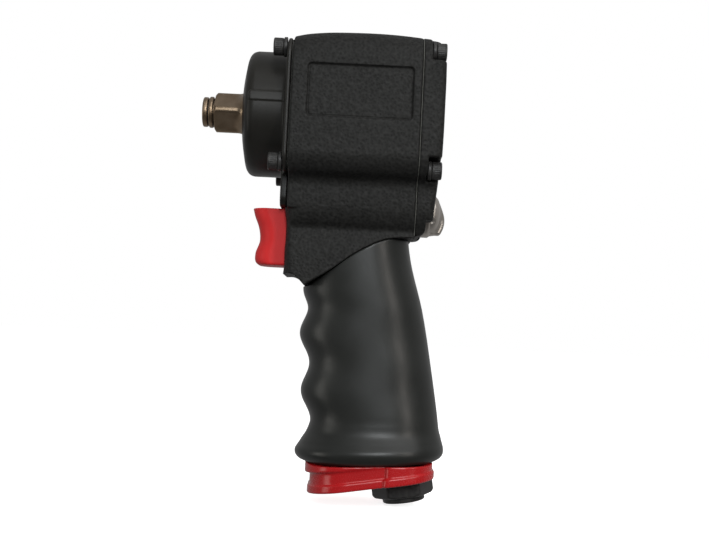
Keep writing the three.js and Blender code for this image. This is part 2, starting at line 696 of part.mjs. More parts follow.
// ---- trigger and throttle --------------------------------------------------------------------

// Round-fronted in plan, with a hollow for the finger, and a narrower back inside the nose.
function trigger() {
  const back = 41.2;
  const [low, high] = TRIGGER_Z;
  const face = smooth([[TRIGGER_FRONT - 0.6, high], [25.8, -46.8], [26.4, -51.5], [25.4, -57.5],
    [TRIGGER_FRONT + 0.8, -61], [TRIGGER_FRONT + 2.6, low]], 10);
  const profile = outline([...face, [back, low], [back, high]]);
  const plan = roundedBox(TRIGGER_FRONT - 1, back + 10, -TRIGGER_HALF, TRIGGER_HALF, 7);
  const body = common(alongY(profile, -20, 20), alongZ(plan, -70, -30));
  return cut(body, moved(rod(back - 3, back + 1, 1.65, SMALL), 0, 0, THROTTLE_Z));
}

piece("trigger", trigger(), redPlastic);
piece("trigger_rod", moved(rod(38.4, 61.6, 1.5, SMALL), 0, 0, THROTTLE_Z), steel);

const bushing = cut(
  rod(48.3, 62, 5.45, 16),
  rod(48, 63, 1.75, SMALL),
  rod(57.5, 63, 3.4, SMALL),
  box([58, 60.4], [-6, 6], [-2, 2]),
);
piece("throttle_bushing", moved(bushing, 0, 0, THROTTLE_Z), bronze);
const valve = turned([[62.2, 0], [62.2, 4.5], [64.2, 4.5], [65, 1.6], [68.5, 1.6], [68.5, 0]], 16);
piece("throttle_valve", moved(valve, 0, 0, THROTTLE_Z), sealRubber);
piece("throttle_spring", moved(spring(66, 78.2, 3.2, 0.45, 6), 0, 0, THROTTLE_Z), steel);

// ---- reverse and power dial --------------------------------------------------------------------

const sleeve = cut(
  rod(63.8, HOUSING[1] - 0.1, 7.2),
  rod(63, 90, 5.25, 16),
  box([68, 74], [-9, 9], [-2, 2]),
);
piece("reverse_bushing", moved(sleeve, 0, 0, DIAL_Z), bronze);

function reverseValve() {
  const body = turned([[64.6, 0], [64.6, 5.0], [88, 5.0], [88, 2.8], [95, 2.8], [95, 0]], 16);
  return cut(
    body,
    box([67, 75], [-6, 6], [2.4, 6]),
    box([77, 84], [-6, 6], [-6, -2.4]),
  );
}

// Domed knob on a wider skirt, with a notched edge and a thumb bar, pinned across its stem.
function reverseDial() {
  const [x0, x1] = DIAL;
  const body = turned([
    [x0, 0], [x0, SKIRT_R - 0.5], [x0 + 0.5, SKIRT_R], [x0 + 3.4, SKIRT_R], [x0 + 4, DIAL_R],
    [x0 + 5.8, DIAL_R], [x0 + 7.1, 7.4], [x0 + 8, 5], [x0 + 8.4, 0],
  ]);
  const bar = alongY(outline([[x0 + 5, 8.3], [x0 + 6.6, 7.8], [x1 - 1.3, 3.8], [x1, 1], [x1, -1],
    [x1 - 1.3, -3.8], [x0 + 6.6, -7.8], [x0 + 5, -8.3]]), -2, 2);
  const notches = Array.from({ length: 8 }, (_, i) => {
    const angle = THREE.MathUtils.degToRad(22.5 + i * 45);
    const r = DIAL_R + 0.9;
    return moved(rod(x0 + 4, x1, 1.4, 6), 0, r * Math.cos(angle), r * Math.sin(angle));
  });
  return cut(join(body, bar), ...notches, rod(x0 - 1, 95.3, 3), dialPinHole);
}

const dialPin = (r, half) =>
  solid(new THREE.CylinderGeometry(r, r, 2 * half, SMALL).translate(93.6, 0, 0));
const dialPinHole = dialPin(1.25, 20);

piece("reverse_valve", moved(cut(reverseValve(), dialPinHole), 0, 0, DIAL_Z), steel);
piece("reverse_dial", moved(reverseDial(), 0, 0, DIAL_Z), zinc);
piece("dial_pin", moved(dialPin(1.05, 8.6), 0, 0, DIAL_Z), steel);
const detent = new THREE.IcosahedronGeometry(1.4, 1).translate(90, 0, DIAL_Z + 6.3);
piece("detent_ball", solid(detent), steel);

// ---- grip sleeve, exhaust cap and air inlet -------------------------------------------------------

function gripSleeve() {
  const skin = gripSkin(-47.2, -139.6, 0, 1, 22, 20);
  const hollow = gripSkin(-47, -137, SLEEVE - GAP, 0, 8, 16);
  const above = outline([...smooth(SEAM.map(([x, z]) => [x, z - 0.7]), 10), [30, -72], [30, 0],
    [120, 0], [120, -50]]);
  return cut(skin, hollow, basePlan(2.7), alongY(above, -40, 40));
}

piece("grip_sleeve", gripSleeve(), rubber);

function exhaustCap() {
  const under = outline([[40, -170], [40, -141.6], [120, -137.9], [120, -170]]);
  const wall = common(basePlan(0), baseSlab(0, 30), alongY(under, -40, 40));
  const rim = common(basePlan(-1.4), baseSlab(8, 30), alongY(under, -40, 40));
  const flange = common(basePlan(-1.1), baseSlab(0, 3));
  const inside = common(basePlan(2.4), baseSlab(2.6, 30));
  const hole = inletRod(20, -20, 8.5);
  const slots = [56, 60, 64, 68].map((x) => box([x, x + 1.8], [-9, 9], [-160, -144]));
  return cut(join(wall, rim, flange), inside, hole, ...slots);
}

piece("exhaust_cap", exhaustCap(), redPlastic);

const mufflerSpace = box([40, 77], [-30, 30], [-160, -130]);
const muffler = common(basePlan(3.2), baseSlab(2.9, FOOT_UP - GAP), mufflerSpace);
piece("exhaust_muffler", muffler, felt);

const inletGroup = new THREE.Group();
inletGroup.position.copy(INLET);
inletGroup.rotation.y = -BASE_TILT;
tool.add(inletGroup);

// Turned about the group's own Z from [z, radius] points.
const upright = (profile, segments = MIDDLE) =>
  solid(new THREE.LatheGeometry(profile.map(([z, r]) => new THREE.Vector2(r, z)), segments)
    .rotateX(Math.PI / 2));

function inletBushing() {
  const hexHeight = 6.2;
  const foot = -hexHeight - GAP;
  const hex = common(
    alongZ(hexagon(INLET_AF), foot, -GAP),
    upright([[foot, 0], [foot, 11.2], [foot + 1.3, 12.6], [-GAP, 12.6], [-GAP, 0]]),
  );
  const collar = upright([[-8.8, 0], [-8.8, 8], [-8.3, 8.5], [-5, 8.5], [-5, 0]]);
  const shank = upright([[-1, 0], [-1, 8.2], [15, 8.2], [15, 0]]);
  const thread = upright([
    [-10, 0], [-10, THREAD_R], [5, THREAD_R - 0.3], [5, 4.4], [16, 4.4], [16, 0],
  ]);
  return cut(join(hex, collar, shank), thread);
}

piece("inlet_bushing", inletBushing(), screwBlack, inletGroup);
const screen = upright([[5.3, 0], [5.3, 4.2], [5.7, 4.2], [5.7, 2.6], [11, 1.8], [11, 0]], SMALL);
piece("inlet_screen", screen, steel, inletGroup);
const seal = upright([[15.3, 4.6], [15.3, 7.9], [16.8, 7.9], [16.8, 4.6], [15.3, 4.6]]);
piece("inlet_seal", seal, sealRubber, inletGroup);

export default tool;
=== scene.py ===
"""A compact half-inch air impact wrench: its looks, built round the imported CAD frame.

Shapes are written in millimetres. X is the drive axis and points back from the anvil's face, Z is up, and
Y is across. Each visible shell is a field: a function that is negative inside the piece and about the
distance to its skin outside. build() turns a field into a mesh that lies on the skin.
"""
import json
import math

import bpy
import numpy as np
from mathutils import Matrix, Vector


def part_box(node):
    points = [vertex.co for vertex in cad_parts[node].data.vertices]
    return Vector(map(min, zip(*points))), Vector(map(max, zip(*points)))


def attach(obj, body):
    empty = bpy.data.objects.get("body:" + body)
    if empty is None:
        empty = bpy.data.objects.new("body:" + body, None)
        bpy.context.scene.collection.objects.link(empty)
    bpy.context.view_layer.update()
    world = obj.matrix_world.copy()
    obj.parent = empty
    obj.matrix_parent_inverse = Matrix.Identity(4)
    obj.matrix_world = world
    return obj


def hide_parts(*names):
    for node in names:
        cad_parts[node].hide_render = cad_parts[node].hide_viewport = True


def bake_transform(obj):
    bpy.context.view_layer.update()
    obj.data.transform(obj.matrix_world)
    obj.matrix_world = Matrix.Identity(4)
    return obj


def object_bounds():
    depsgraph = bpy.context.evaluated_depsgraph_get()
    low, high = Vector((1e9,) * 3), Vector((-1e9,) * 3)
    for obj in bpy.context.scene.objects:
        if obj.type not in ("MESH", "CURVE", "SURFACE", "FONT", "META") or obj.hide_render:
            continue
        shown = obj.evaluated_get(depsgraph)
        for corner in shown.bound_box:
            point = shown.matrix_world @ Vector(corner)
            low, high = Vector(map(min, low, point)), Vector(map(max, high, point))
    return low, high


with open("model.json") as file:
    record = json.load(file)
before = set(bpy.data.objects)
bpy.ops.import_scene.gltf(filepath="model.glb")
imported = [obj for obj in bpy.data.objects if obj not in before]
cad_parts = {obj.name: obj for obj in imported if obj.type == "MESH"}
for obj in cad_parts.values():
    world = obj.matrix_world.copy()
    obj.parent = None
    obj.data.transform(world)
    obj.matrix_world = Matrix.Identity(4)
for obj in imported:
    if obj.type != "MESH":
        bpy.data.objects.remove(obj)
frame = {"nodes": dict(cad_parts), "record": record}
cad_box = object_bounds()

MM = 0.001


def span(node, axis):
    """Lowest and highest place of a CAD node along an axis, in millimetres."""
    low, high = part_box(node)
    return low[axis] / MM, high[axis] / MM


# ---- driving dimensions, in millimetres ----------------------------------------------------------

GAP = 0.3  # between faces that meet

CASE_FRONT, CASE_BACK = span("hammer_case", 0)
CASE_R = 25.6
CASE_BORE = 21.4
CONE = (14, 0.2)  # radius where the case's front starts to slope back, and its slope
RIB = ((21, 44), (0.9, 4.7))  # X and Z
RIB_HEIGHT = 0.45
FLANGE_X = 35.5
FLANGE_HALF = (29.5, 26.4)
TONGUE_HALF = 16.5
TONGUE_Z = span("hammer_case", 2)[0]
CASE_SCREW = (24.0, 22.6)
COVER_SCREW = (24.0, 23.4)
SHANK_HOLE = 2.2
BUSHING_R = 11.4

HOUSING = (span("case_gasket", 0)[1] + 0.1, span("rear_gasket", 0)[0] - 0.1)
COVER = span("rear_cover", 0)
BODY_HALF = span("motor_housing", 1)[1]
BODY_TOP = 30.3
BODY_LOW = -27.0
TOP_CORNER_R = 12.0
LOW_CORNER_R = 9.0
NOSE_X = span("motor_housing", 0)[0]
NOSE_HALF = 21.2
NOSE_R = 9.0
PANEL = ((43.9, 85.3), (-5.4, 15.6))  # X and Z of the recessed panel
PANEL_DEPTH = 0.8
PANEL_GROOVE = 0.4  # how much deeper its outline is
PANEL_R = 1.7
BORE_R = 26.0  # for the motor's liner and plates
BORE_X = 54.7
FRONT_BORE_R = 21.8  # for the hammer cage
FRONT_BORE_BACK = 53.2
ROTOR_HOLE = ((50, 60), 12)  # X and radius, through the wall between the two bores
POCKET_X = 92.2  # floor of the cover's screw pockets
POCKET_R = 4.4

TRIGGER_Z = span("trigger", 2)
TRIGGER_BACK = span("trigger", 0)[1]
TRIGGER_HALF = 9.0
POCKET_BACK = 47.8  # end of the pocket that the trigger goes into
THROTTLE_Z = -53.2
THROTTLE_BORE = ((40, 78.5), 5.6)  # X and radius
ROD_HOLE_R = 1.65

DIAL_Z = -38.3
DIAL = span("reverse_dial", 0)
DIAL_R = 8.6
SKIRT_R = 9.3
VALVE_BORE = (63.4, 7.35)  # front end and radius of the reverse valve's bore
STEM_R = 3.0  # of the valve's stem in the dial

SLEEVE = 2.8  # thickness of the rubber
GRIP_FRONT = 46.5  # mean X of the grip's front at the height FINGER_Z
GRIP_LEAN = 0.068
FINGER_Z = -89  # the crest between two fingers
FINGER_PITCH = 22.3
FINGER_DEPTH = 1.8
BASE_RISE = 0.047
SLEEVE_FOOT = -139.6
CORE_FOOT = -137
SEAM_ARCH = 1.5
BASE_TILT = math.radians(9.5)
INLET = (88.8, -146.1)  # X and Z where the air inlet's axis meets the base plane
BASE_NOSE = ((51.7, 95), (-20, 20), 14.9)  # X, Y and corner radius of its two parts
BASE_REAR = ((66, 100.4), (-21.5, 21.5), 12)
BASE_STEP_X = 81.0  # where the wider part begins
FOOT_UP = 7.4  # how high over the base the housing's foot starts
SCREW_END = (53.5, 74)  # X of the blind ends of the case's and the cover's screw holes

# ---- fields --------------------------------------------------------------------------------------


def join(a, b, r=0.0):
    """One shape or the other, with a fillet about r wide where they meet."""
    if r == 0:
        return np.minimum(a, b)
    near = np.maximum(r - np.abs(a - b), 0) / r
    return np.minimum(a, b) - near * near * r / 4


def common(a, b, r=0.0):
    """What is in both shapes, with its edge rounded over about r."""
    return -join(-a, -b, r)


def cut(a, b, r=0.0):
    return common(a, -b, r)


def slab(x, low, high):
    return np.maximum(low - x, x - high)


def disc(u, v, r):
    return np.hypot(u, v) - r


def rod(x, u, v, x0, x1, r, edge=0.0):
    return common(slab(x, x0, x1), disc(u, v, r), edge)


def box(x, y, z, xs, ys, zs):
    return np.maximum(np.maximum(slab(x, *xs), slab(y, *ys)), slab(z, *zs))


def rounded(u, v, half_u, half_v, r):
    """A rectangle about the origin with round corners."""
    a = np.abs(u) - half_u + r
    b = np.abs(v) - half_v + r
    return np.minimum(np.maximum(a, b), 0) + np.hypot(np.maximum(a, 0), np.maximum(b, 0)) - r


def rounded_between(u, v, us, vs, r):
    middle = [(low + high) / 2 for low, high in (us, vs)]
    half = [(high - low) / 2 for low, high in (us, vs)]
    return rounded(u - middle[0], v - middle[1], *half, r)


def hexagon(u, v, across_flats):
    """A hexagon with a corner on the u axis."""
    flats = [math.radians(angle) for angle in (30, 90, 150)]
    return np.maximum.reduce([np.abs(u * math.cos(a) + v * math.sin(a)) for a in flats]) - across_flats / 2


def ease(x, start, end):
    """0 before start, 1 after end, and smooth between them."""
    t = np.clip((x - start) / (end - start), 0, 1)
    return t * t * (3 - 2 * t)


def curve(points, at):
    """A smooth line through [where, value] points, which goes on straight past its ends."""
    xs, ys = np.array(points, np.float32).T
    slope = np.gradient(ys, xs).astype(np.float32)
    i = np.clip(np.searchsorted(xs, at) - 1, 0, len(xs) - 2)
    width = xs[i + 1] - xs[i]
    t = (at - xs[i]) / width
    inside = np.clip(t, 0, 1)
    a, b, c, d = ys[i], ys[i + 1], slope[i] * width, slope[i + 1] * width
    value = a + inside * (c + inside * (3 * (b - a) - 2 * c - d + inside * (2 * (a - b) + c + d)))
    return value + np.minimum(t, 0) * c + np.maximum(t - 1, 0) * d


def screw_holes(x, y, z, pattern, x0, x1):
    return rod(x, np.abs(y) - pattern[0], np.abs(z) - pattern[1], x0, x1, SHANK_HOLE)


# ---- meshes from fields --------------------------------------------------------------------------

CORNERS = np.array([(i, j, k) for i in (0, 1) for j in (0, 1) for k in (0, 1)])
EDGES = [(a, b) for a in range(8) for b in range(a + 1, 8) if np.abs(CORNERS[a] - CORNERS[b]).sum() == 1]
OFFSET = 0.37  # keeps grid planes off the flat faces


def grid_axis(low, high, step):
    count = int(math.ceil((high - low) / step)) + 4
    return (low - (1.5 + OFFSET) * step + step * np.arange(count)).astype(np.float32)


def onto_skin(field, points, step):
    """Slides points along the field's slope until they lie on the skin."""
    reach = 0.02
    for _ in range(2):
        x, y, z = points.T
        value = field(x, y, z)
        slope = np.stack(
            [
                field(x + reach, y, z) - field(x - reach, y, z),
                field(x, y + reach, z) - field(x, y - reach, z),
                field(x, y, z + reach) - field(x, y, z - reach),
            ],
            axis=1,
        ) / (2 * reach)
        steepness = np.maximum(np.linalg.norm(slope, axis=1), 0.2)
        move = np.clip(value / steepness, -0.5 * step, 0.5 * step)
        points = points - (move / steepness)[:, None] * slope
    return points


def skin(field, low, high, steps):
    """Points and quads of the surface where the field is zero."""
    axes = [grid_axis(*row) for row in zip(low, high, steps)]
    shape = tuple(len(a) for a in axes)
    values = field(axes[0][:, None, None], axes[1][None, :, None], axes[2][None, None, :])
    values = np.broadcast_to(values, shape).astype(np.float32)
    inside = values < 0
    cells = tuple(n - 1 for n in shape)
    filled = np.zeros(cells, np.int8)
    for i, j, k in CORNERS:
        filled += inside[i : i + cells[0], j : j + cells[1], k : k + cells[2]]
    active = np.argwhere((filled > 0) & (filled < 8))
    at = values[tuple((active[:, None, :] + CORNERS).transpose(2, 0, 1))]
    total = np.zeros((len(active), 3))
    count = np.zeros(len(active))
    for a, b in EDGES:
        crosses = (at[:, a] < 0) != (at[:, b] < 0)
        share = np.where(crosses, at[:, a] / np.where(crosses, at[:, a] - at[:, b], 1), 0)
        total += crosses[:, None] * (CORNERS[a] + share[:, None] * (CORNERS[b] - CORNERS[a]))
        count += crosses
    start = np.array([a[0] for a in axes])
    points = start + (active + total / count[:, None]) * np.array(steps)
    number = np.full(cells, -1, np.int64)
    number[tuple(active.T)] = np.arange(len(active))
    quads = []
    for axis in range(3):
        u, v = [a for a in range(3) if a != axis]
        ahead = np.roll(inside, -1, axis)
        crossing = np.argwhere(inside != ahead)
        keep = (crossing[:, axis] < cells[axis]) & (crossing[:, u] > 0) & (crossing[:, v] > 0)
        crossing = crossing[keep & (crossing[:, u] < cells[u]) & (crossing[:, v] < cells[v])]
        ring = []
        for du, dv in ((1, 1), (0, 1), (0, 0), (1, 0)):
            cell = crossing.copy()
            cell[:, u] -= du
            cell[:, v] -= dv
            ring.append(number[tuple(cell.T)])
        quad = np.stack(ring, axis=1)
        leaving = inside[tuple(crossing.T)] == (axis != 1)
        quad[~leaving] = quad[~leaving][:, ::-1]
        quads.append(quad)
    return onto_skin(field, points, min(steps)), np.concatenate(quads)


def build(name, field, low, high, step, thin=1.0):
    """A named mesh piece from a field inside the box low to high. thin is the share of faces kept."""
    steps = step if isinstance(step, tuple) else (step,) * 3
    points, quads = skin(field, low, high, steps)
    mesh = bpy.data.meshes.new(name)
    mesh.vertices.add(len(points))
    mesh.vertices.foreach_set("co", (points * MM).astype(np.float32).ravel())
    mesh.loops.add(quads.size)
    mesh.loops.foreach_set("vertex_index", quads.ravel().astype(np.int32))
    mesh.polygons.add(len(quads))
    mesh.polygons.foreach_set("loop_start", np.arange(0, quads.size, 4, dtype=np.int32))
    mesh.update(calc_edges=True)
    mesh.validate()
    mesh.shade_smooth()
    obj = bpy.data.objects.new(name, mesh)
    bpy.context.scene.collection.objects.link(obj)
    if thin < 1:
        modifier = obj.modifiers.new("thin", "DECIMATE")
        modifier.ratio = thin
        obj.modifiers.new("flats stay flat", "WEIGHTED_NORMAL")
        applied(obj)
    return obj


def applied(obj):
    """Replaces an object's mesh by what its modifiers make of it."""
    made = bpy.data.meshes.new_from_object(obj.evaluated_get(bpy.context.evaluated_depsgraph_get()))
    obj.modifiers.clear()
    obj.data = made


# ---- shapes: housing and cover -------------------------------------------------------------------

# Half width of the waist, the valve bulge and the handle's root, by height.
NECK = [
    (-72, 18.7), (-62, 18.4), (-56, 18.0), (-51.5, 17.4), (-48.8, 16.9), (-47.4, 16.7), (-46.3, 17.2),
    (-45, 18.3), (-43, 19.5), (-40, 20.6), (-37, 21), (-33, 21), (-27, 20.6), (-20, 20.2),
]
# Height of the barrel's top along the tool.
CROWN = [(37.9, 27.9), (42.5, 29.0), (48.3, 29.8), (62, 30.5), (79, 30.3), (88.4, 29.6), (98, 28.7)]
# Where the rubber sleeve starts, and the underside of the nose in front of it, seen from the side.
SEAM = [(47, -69.4), (55.7, -63.9), (65.9, -56.3), (77, -50.6), (90, -49.3)]
NOSE_UNDER = [
    (34.5, -67.0), (36, -66.6), (37.5, -66.1), (39.7, -65.7), (42, -66.4), (44.3, -68.3), (47, -71.3),
]
# How far the front of the nose stands back from its foremost place, by height.
NOSE_FRONT = [
    (-70, 1.2), (-66, 1.3), (-62.4, 1.6), (-57, 1.5), (-52, 1.7), (-45, 1.6), (-38.7, 0.6), (-30, 0.2),
]


def section(y, z):
    """Barrel, waist, bulge and handle root, across the tool."""
    across = np.abs(y)
    middle = (BODY_TOP + BODY_LOW) / 2
    corner = np.where(z > 0, TOP_CORNER_R, LOW_CORNER_R).astype(np.float32)
    barrel = rounded(across, z - middle, BODY_HALF, BODY_TOP - middle, corner)
    neck = np.maximum(across - curve(NECK, z), z + 20)
    return join(barrel, neck, 5)


def crowned(x, z):
    """Height after the barrel's top is bent to its crown line."""
    return z + (BODY_TOP - curve(CROWN, x)) * ease(z, 0, 22)


def grip_front(z):
    """X of the grip's front by height, with a wave for the fingers."""
    along = z - FINGER_Z
    lobes = FINGER_DEPTH * np.cos(along * 2 * math.pi / FINGER_PITCH)
    return GRIP_FRONT - along * GRIP_LEAN - lobes * ease(-z, 68, 80) * ease(z, -135, -122)


# X of the grip's rear, and its half width, by height.
GRIP_REAR = [(-138, 104.2), (-128, 103.1), (-102.4, 99), (-78, 94.2), (-57, 88.4), (-46, 86.6)]
GRIP_HALF = [(-140, 20.4), (-120, 19.2), (-95, 18.4), (-70, 18.6), (-46, 18.8)]
GRIP_ROUND = 0.85  # 1 makes its section an ellipse, and less makes it squarer
# How far the sleeve's lip stands out in front and at the sides, and behind.
LIP = [(-141, -0.6), (-139.4, 1.5), (-137.6, 3.5), (-136, 4.5), (-134.4, 4.6), (-131.2, 2.3), (-128, 0.4),
       (-124, 0), (-120, 0)]
LIP_REAR = [(-141, -3), (-139.4, -1.8), (-137.6, 0.1), (-136, 1.1), (-134.4, 1.3), (-131, 0.8), (-127, 0.1),
            (-122, 0)]


def level(x, z):
    """Height along the leaning grip: the base rises to the rear."""
    return z - BASE_RISE * (x - 75) * ease(-z, 80, 130)


def grip(x, y, z, inset, lip):
    """The grip's skin, drawn in by inset, with the lip at its foot if lip is 1."""
    at = level(x, z)
    edge = lip * curve(LIP, np.clip(at, -141, -120))
    front = grip_front(at) + inset - edge
    rear = curve(GRIP_REAR, at) - inset + lip * curve(LIP_REAR, np.clip(at, -141, -122))
    half = curve(GRIP_HALF, at) - inset + 0.7 * edge
    centre = (front + rear) / 2 + 3
    length = np.where(x > centre, rear - centre, centre - front)
    power = 2 / GRIP_ROUND
    u = np.abs((x - centre) / length) ** power
    v = np.abs(y / half) ** power
    return ((u + v) ** (1 / power) - 1) * half


def above_base(x, z):
    """Height over the tilted base plane."""
    return (z - INLET[1]) * math.cos(BASE_TILT) - (x - INLET[0]) * math.sin(BASE_TILT)


def inlet_axis(x, z):
    """Distance from the inlet's axis, in the tool's middle plane."""
    return (x - INLET[0]) * math.cos(BASE_TILT) + (z - INLET[1]) * math.sin(BASE_TILT)


def base_plan(x, y, inset):
    """Plan of the base: a narrower nose in front, and a wider part round the inlet."""
    nose, rear = rounded_between(x, y, *BASE_NOSE), rounded_between(x, y, *BASE_REAR)
    return join(nose, common(rear, BASE_STEP_X - x, 3.4), 0.2) + inset


def housing_field(x, y, z):
    body = common(section(y, crowned(x, z)), join(
        common(slab(x, *HOUSING), -40 - z),
        common(rounded_between(x - curve(NOSE_FRONT, z), y, (NOSE_X, 130), (-NOSE_HALF, NOSE_HALF), NOSE_R),
               np.maximum(np.minimum(z - TONGUE_Z + 0.7, HOUSING[0] - x), x - HOUSING[1]), 0.6),
    ), 0.7)
    under = np.maximum(curve(SEAM, x) - z, curve(NOSE_UNDER, x) - z)
    body = common(body, under, 0.5)
    panel = rounded_between(x, z, *PANEL, PANEL_R)
    groove = PANEL_GROOVE * np.clip(1 - np.abs(panel + 0.5) / 0.6, 0, 1)
    recess = np.clip(-1.3 * panel, 0, PANEL_DEPTH) + groove
    body = np.maximum(body, np.abs(y) - BODY_HALF + recess)
    core = common(grip(x, y, z, SLEEVE, 0), slab(level(x, z), CORE_FOOT, -47))
    foot = common(base_plan(x, y, 3), slab(above_base(x, z), FOOT_UP, 14))
    body = join(join(body, core), foot)
    body = cut(body, rod(x, y, z, HOUSING[0] - 1, FRONT_BORE_BACK, FRONT_BORE_R))
    body = cut(body, rod(x, y, z, *ROTOR_HOLE[0], ROTOR_HOLE[1]))
    body = cut(body, rod(x, y, z, BORE_X, HOUSING[1] + 1, BORE_R))
    body = cut(body, rod(x, y, z - DIAL_Z, VALVE_BORE[0], HOUSING[1] + 1, VALVE_BORE[1]))
    body = cut(body, rod(x, y, z - THROTTLE_Z, *THROTTLE_BORE[0], THROTTLE_BORE[1]))
    pocket_half = TRIGGER_HALF + 0.4
    pocket = rounded_between(y, z, (-pocket_half, pocket_half), (TRIGGER_Z[0] - 0.4, TRIGGER_Z[1] + 0.6), 0.8)
    body = cut(body, np.maximum(pocket, x - POCKET_BACK), 0.5)
    along, out = inlet_axis(x, z), above_base(x, z)
    air_in, inlet_seat = rod(out, along, y, -5, 95, 5.2), rod(out, along, y, -5, 20, 8.4)
    exhaust = box(x, y, z, (58, 66), (-12, 12), (-150, -74))
    side_ducts = box(x, np.abs(y), z, (59, 65), (8, 13), (-76, -22))
    for hollow in (air_in, inlet_seat, exhaust, side_ducts):
        body = cut(body, hollow)
    body = cut(body, screw_holes(x, y, z, CASE_SCREW, HOUSING[0] - 1, SCREW_END[0]))
    return cut(body, screw_holes(x, y, z, COVER_SCREW, SCREW_END[1], HOUSING[1] + 1))


# X of the cover's back by height.
COVER_BACK = [(-50, 94.8), (-41.5, 95.8), (-36, 96.2), (-28, 97), (-11, 97.7), (2, 97.8), (14, 97.8),
              (26, 97.3), (31, 96.6)]
COVER_TAIL_X = 92.9  # the tail beside the dial is thinner than the cover
COVER_TAIL_Z = -42.3
DETENT_UP = 6.3  # the detent ball's hole over the dial's axis
DETENT_R = 1.7


def cover_under(x, z):
    """The cover's slanting underside."""
    return -48.6 + 0.15 * (x - COVER[0]) - z


def cover_pockets(y, z):
    """Screw pockets: the lower ones are open at the side, the upper ones above as well."""
    u, v, v_low = np.abs(y) - COVER_SCREW[0], z - COVER_SCREW[1], z + COVER_SCREW[1]
    upper = join(np.maximum(-u, -POCKET_R - v), np.maximum(-POCKET_R - u, -v))
    lower = np.maximum(np.abs(v_low) - POCKET_R, -u)
    return join(join(upper, disc(u, v, POCKET_R)), join(lower, disc(u, v_low, POCKET_R)))


def cover_field(x, y, z):
    body = common(section(y, crowned(x, z)), x - curve(COVER_BACK, z), 3.2)
    body = cut(body, common(COVER_TAIL_X - x, z - COVER_TAIL_Z, 0.6), 0.6)
    body = common(body, cover_under(x, z), 2.6)
    body = common(body, COVER[0] - x, 0.4)
    body = cut(body, np.maximum(cover_pockets(y, z), POCKET_X - x), 1.0)
    well = join(disc(y, z - DIAL_Z, SKIRT_R + 0.5), np.maximum(np.abs(y) - SKIRT_R - 0.4, z - DIAL_Z))
    body = cut(body, np.maximum(well, DIAL[0] - GAP - x), 0.7)
    body = cut(body, rod(x, y, z, COVER[0] - 1, 90.8, BORE_R))
    body = cut(body, rod(x, y, z, 90, 92, 8))
    body = cut(body, rod(x, y, z - DIAL_Z, COVER[0] - 1, 95, STEM_R + GAP))
    body = cut(body, rod(x, y, z - DIAL_Z - DETENT_UP, COVER[0] - 1, 95, DETENT_R))
    return cut(body, screw_holes(x, y, z, COVER_SCREW, COVER[0] - 1, POCKET_X + 1))


def rear_gasket_field(x, y, z):
    body = common(section(y, crowned(x, z)) + 0.1, cover_under(x, z))
    body = np.maximum(body, slab(x, *span("rear_gasket", 0)))
    return cut(cut(body, disc(y, z, BORE_R)), screw_holes(x, y, z, COVER_SCREW, 80, 95))


# ---- shapes: hammer case -------------------------------------------------------------------------


def flange_outline(y, z):
    tongue = rounded_between(y, z, (-TONGUE_HALF, TONGUE_HALF), (TONGUE_Z - 0.4, 0), 4)
    return rounded(y, z, *FLANGE_HALF, 7), tongue


def case_field(x, y, z):
    r = np.hypot(y, z)
    cone = (CASE_FRONT + (r - CONE[0]) * CONE[1] - x) * 0.98
    body = common(common(cone, r - CASE_R, 3.4), CASE_FRONT - x, 0.8)
    flange, tongue = flange_outline(y, z)
    plate = common(flange, slab(x, FLANGE_X, CASE_BACK), 0.8)
    plate = join(plate, common(tongue, slab(x, FLANGE_X - 0.8, CASE_BACK), 0.4), 0.6)
    rib = common(rounded_between(x, z, *RIB, 1.2), r - CASE_R - RIB_HEIGHT, 0.5)
    body = common(join(join(body, rib, 0.5), plate, 1.6), x - CASE_BACK, 0.3)
    seat = rod(x, np.abs(y) - CASE_SCREW[0], np.abs(z) - CASE_SCREW[1], 20, FLANGE_X, 4.5)
    body = cut(body, seat, 0.8)
    hollow = common(21.5 - x + 0.8 * np.maximum(r - CASE_BORE + 2, 0), r - CASE_BORE)
    hollow = cut(hollow, common(x - 27.7, r - 15), 0.5)
    body = cut(cut(body, hollow), r - BUSHING_R - 0.2, 0.6)
    return cut(body, screw_holes(x, y, z, CASE_SCREW, 30, 40))


def case_gasket_field(x, y, z):
    body = np.maximum(join(*flange_outline(y, z)) + 0.5, slab(x, *span("case_gasket", 0)))
    return cut(cut(body, disc(y, z, CASE_BORE)), screw_holes(x, y, z, CASE_SCREW, 30, 45))


# ---- shapes: anvil and its retainer --------------------------------------------------------------

SQUARE = 12.7
SQUARE_CORNER_R = 8.15  # radius of the trimmed corners
GROOVE = (2.5, 5.2)  # X of the retaining ring's groove
SQUARE_BACK = 18.0
SHAFT_R = 8.8
NECK_R = 4.6  # under the retaining ring
# X of both ends, radius and edge of what is inside the case, and the jaw that the dog strikes.
COLLAR = (28, 30, 11.5, 0.5)
REAR_SHAFT = (29.5, 44.2, 8, 0.5)
PILOT = (44, 48.6, 4.6, 0.6)
JAW = ((29.8, 44.2), (-3, 3), (-9.4, -6))


